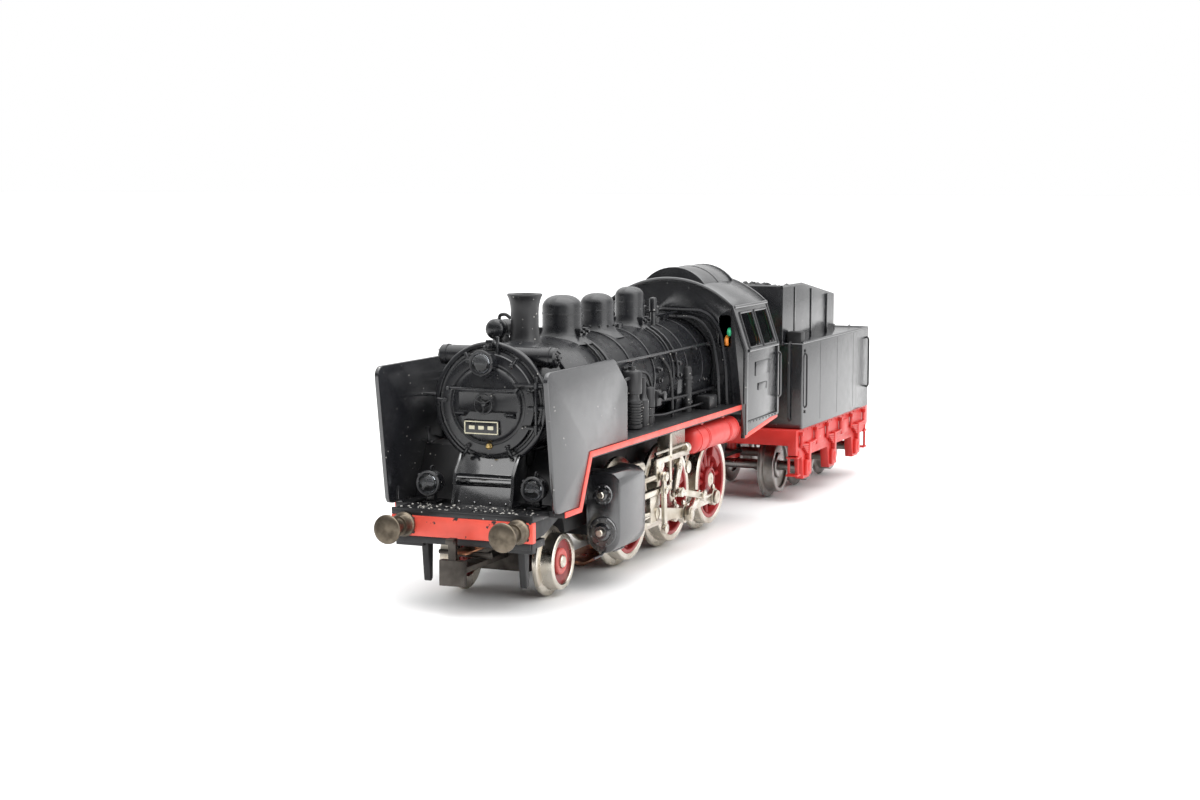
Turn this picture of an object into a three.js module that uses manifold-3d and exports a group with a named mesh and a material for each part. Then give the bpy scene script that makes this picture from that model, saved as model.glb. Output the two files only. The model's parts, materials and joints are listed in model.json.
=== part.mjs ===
// Model steam locomotive: a 2-6-0 engine and its three-axle tender, at about 1:87.
// Millimetres. +X is forward, +Y is the engine's left side, +Z is up, and the flanges stand on z = 0.
// Stations along X are measured from the pony axle; the finished model is centred on x = 0 at the end.
import * as THREE from 'three';
import { mergeVertices } from 'three/addons/utils/BufferGeometryUtils.js';
import Module from 'manifold-3d';

const wasm = await Module();
wasm.setup();

// ---------------------------------------------------------------- driving dimensions
const overBuffers = 194.5;
const frontBufferFace = 23.5;
const bufferLength = 6.5;
const bufferSpread = 10.05;
const bufferHeight = 13.5;
const bufferHeadRadius = 2.37;

const flangeDepth = 1.2;
const backToBack = 14.0;
const wheelWidth = 3.3;
const flangeWidth = 1.1;

const driverTread = 8.6;
const driverFlangeGap = 1.6;
const firstDriverX = -29.5;
const driverAxleRadius = 1.5;
const spokeCount = 12;
const crankThrow = 3.8;
const leftCrankAngle = -49.7;
const quartering = 90;
const crossheadMidX = -31.243;
const crankPinRadius = 0.8;
const eccentricPinRadius = 0.5;
const linkPinRadius = 0.5;
const leverPinRadius = 0.4;
const pistonRodRadius = 0.6;
const eccentricThrow = 1.6;
const leftEccentricAngle = 180;

const ponyTread = 4.7;
const ponyAxleRadius = 1.0;
const ponyPivotX = -18;
const tenderTread = 5.75;
const tenderAxleRadius = 0.9;
const tenderFrontOverhang = 7.5;
const tenderRearOverhang = 9.8;

const boilerRadius = 9.0;
const boilerAboveBoard = 7.8;
const boilerWall = 1.4;
const smokeboxRadius = 9.5;
const smokeboxRingRadius = 10.1;
const smokeboxFrontX = 5.0;
const boardHalfWidth = 15.2;
const boardAboveAxle = 14.6;
const boardThickness = 1.2;
const deflectorThickness = 0.8;
const reservoirRadius = 2.5;
const reservoirLength = 24.8;
const platformTop = 15.9;
const platformThickness = 0.95;
const platformHalfWidth = 12.5;
const beamFrontX = frontBufferFace - bufferLength;

const cabBehindAxle = 3.6;
const cabLength = 20.7;
const cabHalfWidth = 16.0;
const cabWall = 1.0;
const cabWaistRise = 10.6;
const cabEaveHalfWidth = 13.2;
const cabEaveRise = 19.2;
const cabRoofRise = 24.4;
const ventHalfWidth = 6.6;
const ventRise = 2.2;
const floorThickness = 1.0;
const fireboxLength = 18.5;
const fireboxWall = 1.5;
const domeCentres = [-23, -38.8, -54.5];
const domeRadii = [3.5, 3.05, 2.7];
const domeTops = [16.2, 15.7, 16.1];

const frameHalfWidth = 5.0;
const cylinderWidth = 6.2;
const cylinderFrontX = -8.0;
const cylinderLength = 12.0;

const tenderGap = 12.8;
const tenderHalfWidth = 16.5;
const tenderDeckZ = 33.8;
const tenderWebThickness = 1.8;
const tenderFloorZ = 15.5;
const bunkerHalfWidth = 12.5;
const bunkerRearGap = 16.5;
const bunkerWall = 0.9;
const drawPinBehindCab = 14.5;

// named clearances
const seatGap = 0.05;
const runningGap = 0.06;
const sideGap = 0.3;
const wheelSideGap = 0.5;
const floorGap = 1.8;
const rodBoreGap = 0.12;

// ---------------------------------------------------------------- worked-out places
const driverAxleZ = driverTread + flangeDepth;
const driverFlange = driverTread + flangeDepth;
const driverSpacing = 2 * driverFlange + driverFlangeGap;
const driverX = [0, 1, 2].map((i) => firstDriverX - i * driverSpacing);
const ponyAxleZ = ponyTread + flangeDepth;
const tenderAxleZ = tenderTread + flangeDepth;
const wheelBackY = backToBack / 2;
const wheelFaceY = wheelBackY + wheelWidth;
const couplingRodY = [wheelFaceY + 0.7, wheelFaceY + 1.7];
const mainRodY = [couplingRodY[1] + 0.8, couplingRodY[1] + 1.8];
const returnCrankY = [mainRodY[1] + 0.35, mainRodY[1] + 1.15];
const eccentricRodY = [returnCrankY[1] + 0.3, returnCrankY[1] + 1.0];
const crossheadY = [mainRodY[1] + 0.3, mainRodY[1] + 1.4];
const leverY = [crossheadY[1] + 0.25, crossheadY[1] + 0.95];
const pistonY = (crossheadY[0] + crossheadY[1]) / 2;
const cylinderInnerY = wheelFaceY + wheelSideGap;
const cylinderOuterY = cylinderInnerY + cylinderWidth;
const cylinderRearX = cylinderFrontX - cylinderLength;
const mainRodLength = crossheadMidX - driverX[1];
const guideBarZ = [driverAxleZ + 3.2, driverAxleZ + 4.2];
const valveSpindleZ = driverAxleZ + 6.3;
const linkPivot = [-42.3, driverAxleZ + 6.7];
const linkFoot = [-40.2, driverAxleZ + 2.3];
const leverTop = [-31.5, valveSpindleZ];
const platformBottom = platformTop - platformThickness;
const boardTop = driverAxleZ + boardAboveAxle;
const boardBottom = boardTop - boardThickness;
const boilerAxisZ = boardTop + boilerAboveBoard;
const cabFrontX = driverX[2] - cabBehindAxle;
const cabRearX = cabFrontX - cabLength;
const cabWaistZ = boardTop + cabWaistRise;
const cabEaveZ = boardTop + cabEaveRise;
const cabRoofZ = boardTop + cabRoofRise;
const cabFloorZ = driverAxleZ + driverFlange + floorGap;
const fireboxFrontX = cabFrontX + fireboxLength;
const rearBufferFace = frontBufferFace - overBuffers;
const rearBeamX = rearBufferFace + bufferLength;
const rearHookX = rearBufferFace - 3.5;
const drawbarZ = [9.6, 10.4];
const enginePinX = cabFrontX - drawPinBehindCab;
const tenderFrontX = cabRearX - tenderGap;
const tenderPinX = tenderFrontX - 5;
const tenderWebY = [tenderHalfWidth - 0.5 - tenderWebThickness, tenderHalfWidth - 0.5];
const tenderAxleEnd = tenderWebY[0] + 1.0;
const firstTenderAxleX = tenderFrontX - tenderFrontOverhang;
const tenderAxleSpacing = (firstTenderAxleX - rearBeamX - tenderRearOverhang) / 2;
const tenderAxleX = [0, 1, 2].map((i) => firstTenderAxleX - i * tenderAxleSpacing);
const shoeX = (driverX[0] + driverX[1]) / 2;
const motorBayHalfY = frameHalfWidth + 1.7;

// ---------------------------------------------------------------- solid helpers
function signedVolume(points, corners) {
  let sum = 0;
  for (let i = 0; i < corners.length; i += 3) {
    const [a, b, c] = [corners[i] * 3, corners[i + 1] * 3, corners[i + 2] * 3];
    sum += points[a] * (points[b + 1] * points[c + 2] - points[b + 2] * points[c + 1]);
    sum += points[a + 1] * (points[b + 2] * points[c] - points[b] * points[c + 2]);
    sum += points[a + 2] * (points[b] * points[c + 1] - points[b + 1] * points[c]);
  }
  return sum / 6;
}

function solidFrom(geometry) {
  const bare = geometry.index ? geometry.toNonIndexed() : geometry.clone();
  for (const name of Object.keys(bare.attributes)) {
    if (name !== 'position') bare.deleteAttribute(name);
  }
  const merged = mergeVertices(bare, 1e-4);
  const points = new Float32Array(merged.attributes.position.array);
  const corners = [];
  for (let i = 0; i < merged.index.count; i += 3) {
    const [a, b, c] = [0, 1, 2].map((k) => merged.index.array[i + k]);
    if (a !== b && b !== c && c !== a) corners.push(a, b, c);
  }
  if (signedVolume(points, corners) < 0) corners.reverse();
  const triVerts = new Uint32Array(corners);
  return new wasm.Manifold(new wasm.Mesh({ numProp: 3, vertProperties: points, triVerts }));
}

function geometryFrom(solid) {
  const mesh = solid.getMesh();
  const geometry = new THREE.BufferGeometry();
  geometry.setAttribute('position', new THREE.BufferAttribute(new Float32Array(mesh.vertProperties), 3));
  geometry.setIndex(new THREE.BufferAttribute(new Uint32Array(mesh.triVerts), 1));
  geometry.computeVertexNormals();
  return geometry;
}

const join = (...pieces) => pieces.flat().reduce((sum, piece) => sum.add(piece));
const cut = (body, ...tools) => tools.flat().reduce((sum, tool) => sum.subtract(tool), body);

function block(x, y, z) {
  const geometry = new THREE.BoxGeometry(x[1] - x[0], y[1] - y[0], z[1] - z[0]);
  geometry.translate((x[0] + x[1]) / 2, (y[0] + y[1]) / 2, (z[0] + z[1]) / 2);
  return solidFrom(geometry);
}

// a range mirrored to the engine's left (side 1) or right (side -1)
const onSide = (side, range) => (side > 0 ? range : [-range[1], -range[0]]);

// an outline drawn in X and Z, given thickness along Y
function plateY(outline, y, holes = []) {
  const shape = new THREE.Shape(outline.map(([x, z]) => new THREE.Vector2(x, z)));
  for (const hole of holes) shape.holes.push(new THREE.Path(hole.map(([x, z]) => new THREE.Vector2(x, z))));
  const geometry = new THREE.ExtrudeGeometry(shape, { depth: y[1] - y[0], bevelEnabled: false });
  geometry.rotateX(Math.PI / 2);
  geometry.translate(0, y[1], 0);
  return solidFrom(geometry);
}

// an outline drawn in Y and Z, given length along X
function barX(outline, x) {
  const shape = new THREE.Shape(outline.map(([y, z]) => new THREE.Vector2(y, z)));
  const geometry = new THREE.ExtrudeGeometry(shape, { depth: x[1] - x[0], bevelEnabled: false });
  geometry.applyMatrix4(new THREE.Matrix4().set(0, 0, 1, x[0], 1, 0, 0, 0, 0, 1, 0, 0, 0, 0, 0, 1));
  return solidFrom(geometry);
}

// an outline drawn in X and Y, given height along Z
function plateZ(outline, z) {
  const shape = new THREE.Shape(outline.map(([x, y]) => new THREE.Vector2(x, y)));
  const geometry = new THREE.ExtrudeGeometry(shape, { depth: z[1] - z[0], bevelEnabled: false });
  geometry.translate(0, 0, z[0]);
  return solidFrom(geometry);
}

// turned shapes: a profile of [radius, distance along the axis]
function turned(profile, segments) {
  return new THREE.LatheGeometry(profile.map(([r, d]) => new THREE.Vector2(r, d)), segments);
}

function turnedX(profile, y, z, segments = 20) {
  const geometry = turned(profile, segments);
  geometry.rotateZ(-Math.PI / 2);
  geometry.translate(0, y, z);
  return solidFrom(geometry);
}

function turnedY(profile, x, z, segments = 20) {
  const geometry = turned(profile, segments);
  geometry.translate(x, 0, z);
  return solidFrom(geometry);
}

function turnedZ(profile, x, y, segments = 20) {
  const geometry = turned(profile, segments);
  geometry.rotateX(Math.PI / 2);
  geometry.translate(x, y, 0);
  return solidFrom(geometry);
}

const stub = (radius, range) => [[0, range[0]], [radius, range[0]], [radius, range[1]], [0, range[1]]];
const roundX = (radius, x, y, z, segments = 16) => turnedX(stub(radius, x), y, z, segments);
const roundY = (radius, y, x, z, segments = 16) => turnedY(stub(radius, y), x, z, segments);
const roundZ = (radius, z, x, y, segments = 16) => turnedZ(stub(radius, z), x, y, segments);

const rad = (degrees) => (degrees * Math.PI) / 180;
const polar = (radius, degrees) => [radius * Math.cos(rad(degrees)), radius * Math.sin(rad(degrees))];
const placed = ([x, z], [dx, dz]) => [x + dx, z + dz];

function arc(centre, radius, from, to, steps) {
  const points = [];
  for (let i = 0; i <= steps; i += 1) {
    points.push(placed(centre, polar(radius, from + ((to - from) * i) / steps)));
  }
  return points;
}

// ---------------------------------------------------------------- finishes
const finish = (color, roughness, metalness) => ({ color, roughness, metalness });
const blackPaint = finish(0x17181a, 0.45, 0.1);
const redPaint = finish(0xb02c22, 0.5, 0.0);
const wheelRed = finish(0x7c1712, 0.55, 0.0);
const nickel = finish(0xb9b4a6, 0.3, 1.0);
const darkMetal = finish(0x4a4540, 0.45, 0.9);
const castMetal = finish(0x6b6a66, 0.55, 0.8);
const brass = finish(0xb08d4a, 0.35, 1.0);
const clearPlastic = finish(0xd8d6cc, 0.15, 0.0);
const greyPlastic = finish(0x55554f, 0.6, 0.0);
const orangeLead = finish(0xd0701e, 0.55, 0.0);
const greenLead = finish(0x3b7a3a, 0.55, 0.0);
const copper = finish(0x9a5b3a, 0.4, 1.0);

const model = new THREE.Group();

function addPiece(name, solid, look) {
  const mesh = new THREE.Mesh(geometryFrom(solid), new THREE.MeshStandardMaterial(look));
  mesh.name = name;
  model.add(mesh);
}

const sides = [['left', 1], ['right', -1]];

// ---------------------------------------------------------------- crank geometry
const crankAngle = (side) => leftCrankAngle + (side > 0 ? 0 : quartering);
const eccentricAngle = (side) => leftEccentricAngle + (side > 0 ? 0 : quartering);
const crankOffset = (side) => polar(crankThrow, crankAngle(side));
const crankPin = (side, i) => placed([driverX[i], driverAxleZ], crankOffset(side));
const eccentricOffset = (side) => polar(eccentricThrow, eccentricAngle(side));
const eccentricPin = (side) => placed([driverX[1], driverAxleZ], eccentricOffset(side));

function crossheadPinX(side) {
  const [x, z] = crankPin(side, 1);
  return x + Math.sqrt(mainRodLength ** 2 - (z - driverAxleZ) ** 2);
}

// ---------------------------------------------------------------- wheels and axles
const gearModule = 0.5;
const gearY = [-frameHalfWidth - 1.4, -frameHalfWidth - 0.2];
const gearSlack = 0.06;
const axleTeeth = 20;
const idlerTeeth = 24;
const pinionTeeth = 10;
const idlerShaftRadius = 1.0;
const idlerDirection = 80;
const motorDirection = 69;
const gearReach = (a, b) => ((a + b) * gearModule) / 2 + gearSlack;
const idlerOffset = polar(gearReach(axleTeeth, idlerTeeth), idlerDirection);
const idlerCentre = placed([driverX[2], driverAxleZ], idlerOffset);
const motorCentre = placed(idlerCentre, polar(gearReach(idlerTeeth, pinionTeeth), motorDirection));
const axleGearPhase = idlerDirection;
const idlerPhase = idlerDirection + 180 + 180 / idlerTeeth;
const idlerLead = (idlerPhase - motorDirection) % (360 / idlerTeeth);
const pinionPhase = motorDirection + 180 - (idlerLead * idlerTeeth) / pinionTeeth + 180 / pinionTeeth;

function gear(teeth, centre, phase, boreRadius) {
  const pitchRadius = (teeth * gearModule) / 2;
  const root = pitchRadius - 1.25 * gearModule;
  const tip = pitchRadius + 0.85 * gearModule;
  const pitch = 360 / teeth;
  const outline = [];
  for (let i = 0; i < teeth; i += 1) {
    const middle = phase + i * pitch;
    for (const [radius, share] of [[root, -0.29], [tip, -0.1], [tip, 0.1], [root, 0.29]]) {
      outline.push(placed(centre, polar(radius, middle + share * pitch)));
    }
  }
  const holes = boreRadius > 0 ? [arc(centre, boreRadius, 0, 330, 11).reverse()] : [];
  return plateY(outline, gearY, holes);
}

function tyreProfile(tread, side, bore) {
  const flange = tread + flangeDepth;
  const at = (distance) => side * (wheelBackY + distance);
  return [
    [bore, at(0)], [flange, at(0)], [flange, at(flangeWidth)], [tread, at(flangeWidth)],
    [tread, at(wheelWidth)], [bore, at(wheelWidth)], [bore, at(0)],
  ];
}

function spokedDisc(centre, side, rimRadius, hubRadius) {
  const pitch = 360 / spokeCount;
  const holes = [];
  for (let i = 0; i < spokeCount; i += 1) {
    const middle = (i + 0.5) * pitch;
    const inside = rimRadius - 0.25;
    const corners = [[hubRadius, -6.5], [inside, -12.4], [inside, 12.4], [hubRadius, 6.5]];
    holes.push(corners.map(([r, a]) => placed(centre, polar(r, middle + a))));
  }
  const discY = onSide(side, [wheelBackY + 0.5, wheelFaceY - 0.4]);
  return plateY(arc(centre, rimRadius + 0.1, 0, 342, 19), discY, holes);
}

function balanceWeight(centre, side, middle, halfAngle, radii) {
  const outer = arc(centre, radii[1], middle - halfAngle, middle + halfAngle, 6);
  const inner = arc(centre, radii[0], middle + halfAngle, middle - halfAngle, 4);
  return plateY([...outer, ...inner], onSide(side, [wheelBackY + 0.6, wheelFaceY - 0.2]));
}

function driverWheel(side, i) {
  const centre = [driverX[i], driverAxleZ];
  const rim = driverTread - 1.3;
  const pin = crankPin(side, i);
  const tyre = turnedY(tyreProfile(driverTread, side, rim), ...centre, 20);
  const hub = roundY(2.6, onSide(side, [wheelBackY + 0.2, wheelFaceY]), ...centre, 12);
  const boss = roundY(1.7, onSide(side, [wheelBackY + 0.6, wheelFaceY]), ...pin, 10);
  const web = plateY(rodOutline(centre, pin, 1.9, 1.4), onSide(side, [wheelBackY + 0.6, wheelFaceY - 0.1]));
  const weight = balanceWeight(centre, side, crankAngle(side) + 180, i === 1 ? 34 : 26, [4.6, rim + 0.1]);
  const pinEnd = i === 1 ? returnCrankY[0] - seatGap : couplingRodY[1] + 0.15;
  const pieces = [tyre, spokedDisc(centre, side, rim, 2.9), hub, boss, web, weight];
  pieces.push(roundY(crankPinRadius, onSide(side, [wheelFaceY - 0.5, pinEnd]), ...pin, 10));
  if (i !== 1) pieces.push(roundY(1.35, onSide(side, [pinEnd - 0.01, pinEnd + 0.5]), ...pin, 10));
  const bore = roundY(driverAxleRadius + seatGap, onSide(side, [0, wheelFaceY + 1]), ...centre, 14);
  return cut(join(pieces), bore);
}

function rodOutline(a, b, halfA, halfB) {
  const length = Math.hypot(b[0] - a[0], b[1] - a[1]);
  const across = [-(b[1] - a[1]) / length, (b[0] - a[0]) / length];
  const corner = ([x, z], half) => [x + across[0] * half, z + across[1] * half];
  return [corner(a, -halfA), corner(b, -halfB), corner(b, halfB), corner(a, halfA)];
}

driverX.forEach((x, i) => {
  const number = i + 1;
  let axle = roundY(driverAxleRadius, [-wheelFaceY + 0.1, wheelFaceY - 0.1], x, driverAxleZ, 14);
  if (i === 2) axle = join(axle, gear(axleTeeth, [x, driverAxleZ], axleGearPhase, 0));
  addPiece(`driver_axle_${number}`, axle, nickel);
  for (const [name, side] of sides) {
    addPiece(`driver_wheel_${name}_${number}`, driverWheel(side, i), wheelRed);
  }
});

function plainWheelset(x, z, tread, axleRadius, axleEnd) {
  const hub = tread * 0.46;
  const rim = tread - 1.1;
  const flange = tread + flangeDepth;
  const half = [
    [axleRadius, wheelBackY], [flange, wheelBackY], [flange, wheelBackY + flangeWidth],
    [tread, wheelBackY + flangeWidth], [tread, wheelFaceY], [rim, wheelFaceY], [hub, wheelFaceY - 0.5],
    [axleRadius, wheelFaceY - 0.5], [axleRadius, axleEnd], [0, axleEnd],
  ];
  const mirrored = half.map(([r, y]) => [r, -y]).reverse();
  return turnedY([...mirrored, ...half], x, z, 18);
}

const ponyAxleEnd = wheelFaceY + 0.1;
addPiece('pony_wheelset', plainWheelset(0, ponyAxleZ, ponyTread, ponyAxleRadius, ponyAxleEnd), wheelRed);
tenderAxleX.forEach((x, i) => {
  const wheelset = plainWheelset(x, tenderAxleZ, tenderTread, tenderAxleRadius, tenderAxleEnd);
  addPiece(`tender_wheelset_${i + 1}`, wheelset, wheelRed);
});

// ---------------------------------------------------------------- rods and valve gear
function rod(a, b, half, eyes, y, side) {
  const range = onSide(side, y);
  const blade = plateY(rodOutline(a, b, half, half), range);
  return join(blade, roundY(eyes[0], range, ...a, 12), roundY(eyes[1], range, ...b, 12));
}

function couplingRod(side) {
  const pins = [0, 1, 2].map((i) => crankPin(side, i));
  const range = onSide(side, couplingRodY);
  const eyes = pins.map((pin) => roundY(1.65, range, ...pin, 12));
  const blade = plateY(rodOutline(pins[0], pins[2], 0.85, 0.85), range);
  const bores = pins.map((pin) => roundY(crankPinRadius + rodBoreGap, onSide(side, [0, 20]), ...pin, 10));
  return cut(join(blade, eyes), bores);
}

function connectingRod(side) {
  const pin = crankPin(side, 1);
  const small = [crossheadPinX(side), driverAxleZ];
  const blade = rod(pin, small, 1.0, [1.7, 1.25], mainRodY, side);
  return cut(blade, roundY(crankPinRadius + rodBoreGap, onSide(side, [0, 20]), ...pin, 10));
}

function returnCrank(side) {
  const start = crankPin(side, 1);
  const end = eccentricPin(side);
  const arm = rod(start, end, 0.8, [1.5, 1.0], returnCrankY, side);
  const pinY = onSide(side, [returnCrankY[0] + 0.1, eccentricRodY[1] + 0.1]);
  const pin = roundY(eccentricPinRadius, pinY, ...end, 10);
  const head = roundY(1.1, onSide(side, [returnCrankY[1] - 0.1, returnCrankY[1] + 0.2]), ...start, 14);
  return join(arm, pin, head);
}

function eccentricRod(side) {
  const shift = polar(eccentricThrow, eccentricAngle(side));
  const rest = polar(eccentricThrow, leftEccentricAngle);
  const foot = placed(linkFoot, [shift[0] - rest[0], shift[1] - rest[1]]);
  const blade = rod(eccentricPin(side), foot, 0.55, [1.0, 0.85], eccentricRodY, side);
  const boreRadius = eccentricPinRadius + rodBoreGap;
  return cut(blade, roundY(boreRadius, onSide(side, [0, 20]), ...eccentricPin(side), 10));
}

function expansionLink(side) {
  const range = onSide(side, returnCrankY);
  const top = placed(linkPivot, [-0.6, 1.3]);
  const upper = plateY(rodOutline(top, linkPivot, 0.8, 1.1), range);
  const lower = plateY(rodOutline(linkPivot, linkFoot, 1.1, 0.7), range);
  const eyes = [roundY(1.2, range, ...linkPivot, 14), roundY(0.9, range, ...linkFoot, 12)];
  const bore = roundY(linkPinRadius + runningGap, onSide(side, [0, 20]), ...linkPivot, 12);
  return cut(join(upper, lower, eyes), bore);
}

function combinationLever(side) {
  const foot = [leverTop[0] - 0.6, leverTop[1] - 9.4];
  const blade = rod(leverTop, foot, 0.6, [0.95, 0.95], leverY, side);
  return cut(blade, roundY(leverPinRadius + runningGap, onSide(side, [0, 20]), ...leverTop, 10));
}

function crosshead(side) {
  const x = crossheadPinX(side);
  const range = onSide(side, crossheadY);
  const body = block([x - 2.0, x + 2.2], range, [driverAxleZ - 1.4, driverAxleZ + 1.4]);
  const slipper = block([x - 2.4, x + 2.4], range, [driverAxleZ + 1.3, guideBarZ[0] - runningGap]);
  const rodX = [x + 2.1, x + 17];
  const piston = roundX(pistonRodRadius, rodX, side * pistonY, driverAxleZ, 12);
  return join(body, slipper, piston);
}

function motionBracket(side) {
  const range = onSide(side, crossheadY);
  const hangerX = [-37.3, -36.2];
  const guideBar = block([hangerX[0], cylinderRearX - seatGap], range, guideBarZ);
  const hanger = block(hangerX, range, [guideBarZ[0], boardBottom - seatGap]);
  const radiusRod = block([-46.2, -29.6], range, [driverAxleZ + 8.5, driverAxleZ + 9.5]);
  const webY = onSide(side, [mainRodY[0], crossheadY[0] + 0.2]);
  const web = block([-46.2, hangerX[1]], webY, [driverAxleZ + 8.4, boardBottom - seatGap]);
  const armX = [linkPivot[0] - 1.1, linkPivot[0] + 1.1];
  const armY = onSide(side, [mainRodY[0], returnCrankY[0] - 0.1]);
  const pivotArm = block(armX, armY, [linkPivot[1] - 0.2, driverAxleZ + 8.6]);
  const pivotPinY = onSide(side, [mainRodY[1] + 0.05, returnCrankY[1] + 0.15]);
  const pivotPin = roundY(linkPinRadius, pivotPinY, ...linkPivot, 12);
  const spindleX = [leverTop[0] - 0.8, cylinderRearX - seatGap];
  const spindle = roundX(0.5, spindleX, side * pistonY, valveSpindleZ, 10);
  const headX = [leverTop[0] - 0.8, leverTop[0] + 1.9];
  const spindleBlock = block(headX, range, [valveSpindleZ - 0.7, driverAxleZ + 8.8]);
  const leverPinY = onSide(side, [crossheadY[1] - 0.2, leverY[1] + 0.15]);
  const leverPin = roundY(leverPinRadius, leverPinY, ...leverTop, 10);
  return join(guideBar, hanger, radiusRod, web, pivotArm, pivotPin, spindle, spindleBlock, leverPin);
}

for (const [name, side] of sides) {
  addPiece(`coupling_rod_${name}`, couplingRod(side), nickel);
  addPiece(`connecting_rod_${name}`, connectingRod(side), nickel);
  addPiece(`return_crank_${name}`, returnCrank(side), nickel);
  addPiece(`eccentric_rod_${name}`, eccentricRod(side), nickel);
  addPiece(`expansion_link_${name}`, expansionLink(side), nickel);
  addPiece(`combination_lever_${name}`, combinationLever(side), nickel);
  addPiece(`crosshead_${name}`, crosshead(side), nickel);
  addPiece(`motion_bracket_${name}`, motionBracket(side), nickel);
}

function cylinderCasting(side) {
  const z = driverAxleZ;
  const middleY = (cylinderInnerY + cylinderOuterY) / 2;
  const half = (cylinderOuterY - cylinderInnerY) / 2;
  const lower = arc([middleY, z], half + 0.6, 180, 360, 10);
  const outline = [
    ...lower, [cylinderOuterY, z + 0.5], [cylinderOuterY, z + 8.6], [cylinderOuterY - 0.9, z + 10],
    [cylinderInnerY + 0.9, z + 10], [cylinderInnerY, z + 8.6], [cylinderInnerY, z + 0.5],
  ];
  const clipped = outline.map(([y, height]) => [
    side * THREE.MathUtils.clamp(y, cylinderInnerY, cylinderOuterY), height]);
  const range = [cylinderRearX, cylinderFrontX];
  const body = barX(side > 0 ? clipped : clipped.reverse(), range);
  const lug = block([cylinderRearX + 1.5, cylinderFrontX - 1],
    onSide(side, [frameHalfWidth + seatGap, cylinderInnerY + 0.5]), [z + 4.2, z + 9.2]);
  const frontCover = roundX(2.5, [cylinderFrontX - 0.1, cylinderFrontX + 0.5], side * middleY, z, 20);
  const valveCoverX = [cylinderFrontX - 0.1, cylinderFrontX + 0.4];
  const valveCover = roundX(1.7, valveCoverX, side * middleY, valveSpindleZ, 16);
  const tailRod = roundX(0.6, [cylinderFrontX, cylinderFrontX + 1.7], side * middleY, z, 10);
  const valveTail = roundX(0.6, [cylinderFrontX, cylinderFrontX + 1.0], side * middleY, valveSpindleZ, 10);
  const boreX = [cylinderRearX - 1, cylinderRearX + 10.2];
  const bore = roundX(pistonRodRadius + runningGap, boreX, side * pistonY, z, 12);
  return cut(join(body, lug, frontCover, valveCover, tailRod, valveTail), bore);
}

for (const [name, side] of sides) addPiece(`cylinder_${name}`, cylinderCasting(side), blackPaint);

// ---------------------------------------------------------------- engine frame
const frameTop = boilerAxisZ - smokeboxRadius - 0.2;
const frameBottom = driverAxleZ - 3.6;
const pivotPadZ = 8.4;
const frontFrameZ = [12.6, platformBottom];
const rearFrameZ = [12.0, 20.0];
const frameFrontX = beamFrontX - 1.2 - seatGap;
const frameTopFrontX = -7.6;
const frameTopRearX = cabFrontX + 0.2;
const pivotPinRadius = 0.9;
const shoePostHalf = [1.9, 1.2];
const drawPinRadius = 1.0;
const drawHeadRadius = 1.8;

// a pin hanging from the frame, with a head below the bar it carries
function headedPin(barZ, topZ, x) {
  const shank = roundZ(drawPinRadius, [barZ[0] - 0.6, topZ], x, 0, 14);
  const head = roundZ(drawHeadRadius, [barZ[0] - 1.0, barZ[0] - 0.15], x, 0, 14);
  return join(shank, head);
}

function engineFrame() {
  const outline = [
    [enginePinX - 5, rearFrameZ[0]], [driverX[2] - 6, rearFrameZ[0]], [driverX[2] - 4, frameBottom],
    [driverX[0] + 6, frameBottom], [driverX[0] + 7.2, pivotPadZ], [-12.5, pivotPadZ], [-11, frontFrameZ[0]],
    [frameFrontX, frontFrameZ[0]], [frameFrontX, frontFrameZ[1]], [frameTopFrontX, frontFrameZ[1]],
    [frameTopFrontX, frameTop], [frameTopRearX, frameTop], [frameTopRearX, rearFrameZ[1]],
    [enginePinX - 5, rearFrameZ[1]],
  ];
  const bodyBlock = plateY(outline, [-frameHalfWidth, frameHalfWidth]);
  const axleBores = driverX.map((x) =>
    roundY(driverAxleRadius + runningGap, [-20, 20], x, driverAxleZ, 20));
  const idlerBore = roundY(idlerShaftRadius + runningGap, [-20, 0], ...idlerCentre, 14);
  const pivotBore = roundZ(pivotPinRadius + seatGap, [0, 14], ponyPivotX, 0, 12);
  const pocketX = [shoeX - shoePostHalf[0] - 0.6, shoeX + shoePostHalf[0] + 0.6];
  const shoePocket = block(pocketX, [-shoePostHalf[1] - 0.4, shoePostHalf[1] + 0.4], [0, frameBottom + 8.3]);
  const drawPin = headedPin(drawbarZ, rearFrameZ[0] + 0.5, enginePinX);
  return join(cut(bodyBlock, axleBores, idlerBore, pivotBore, shoePocket), drawPin);
}

addPiece('loco_frame', engineFrame(), castMetal);

const screwZ = [6.3, 7.1];
addPiece('pony_pivot_screw', join(
  roundZ(1.7, screwZ, ponyPivotX, 0, 16),
  roundZ(pivotPinRadius, [screwZ[1] - 0.1, 13.5], ponyPivotX, 0, 12),
), nickel);

// ---------------------------------------------------------------- pony truck with the front coupler
const truckArmZ = [7.2, 8.2];
const couplerX = [19.4, 20.6];

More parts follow.
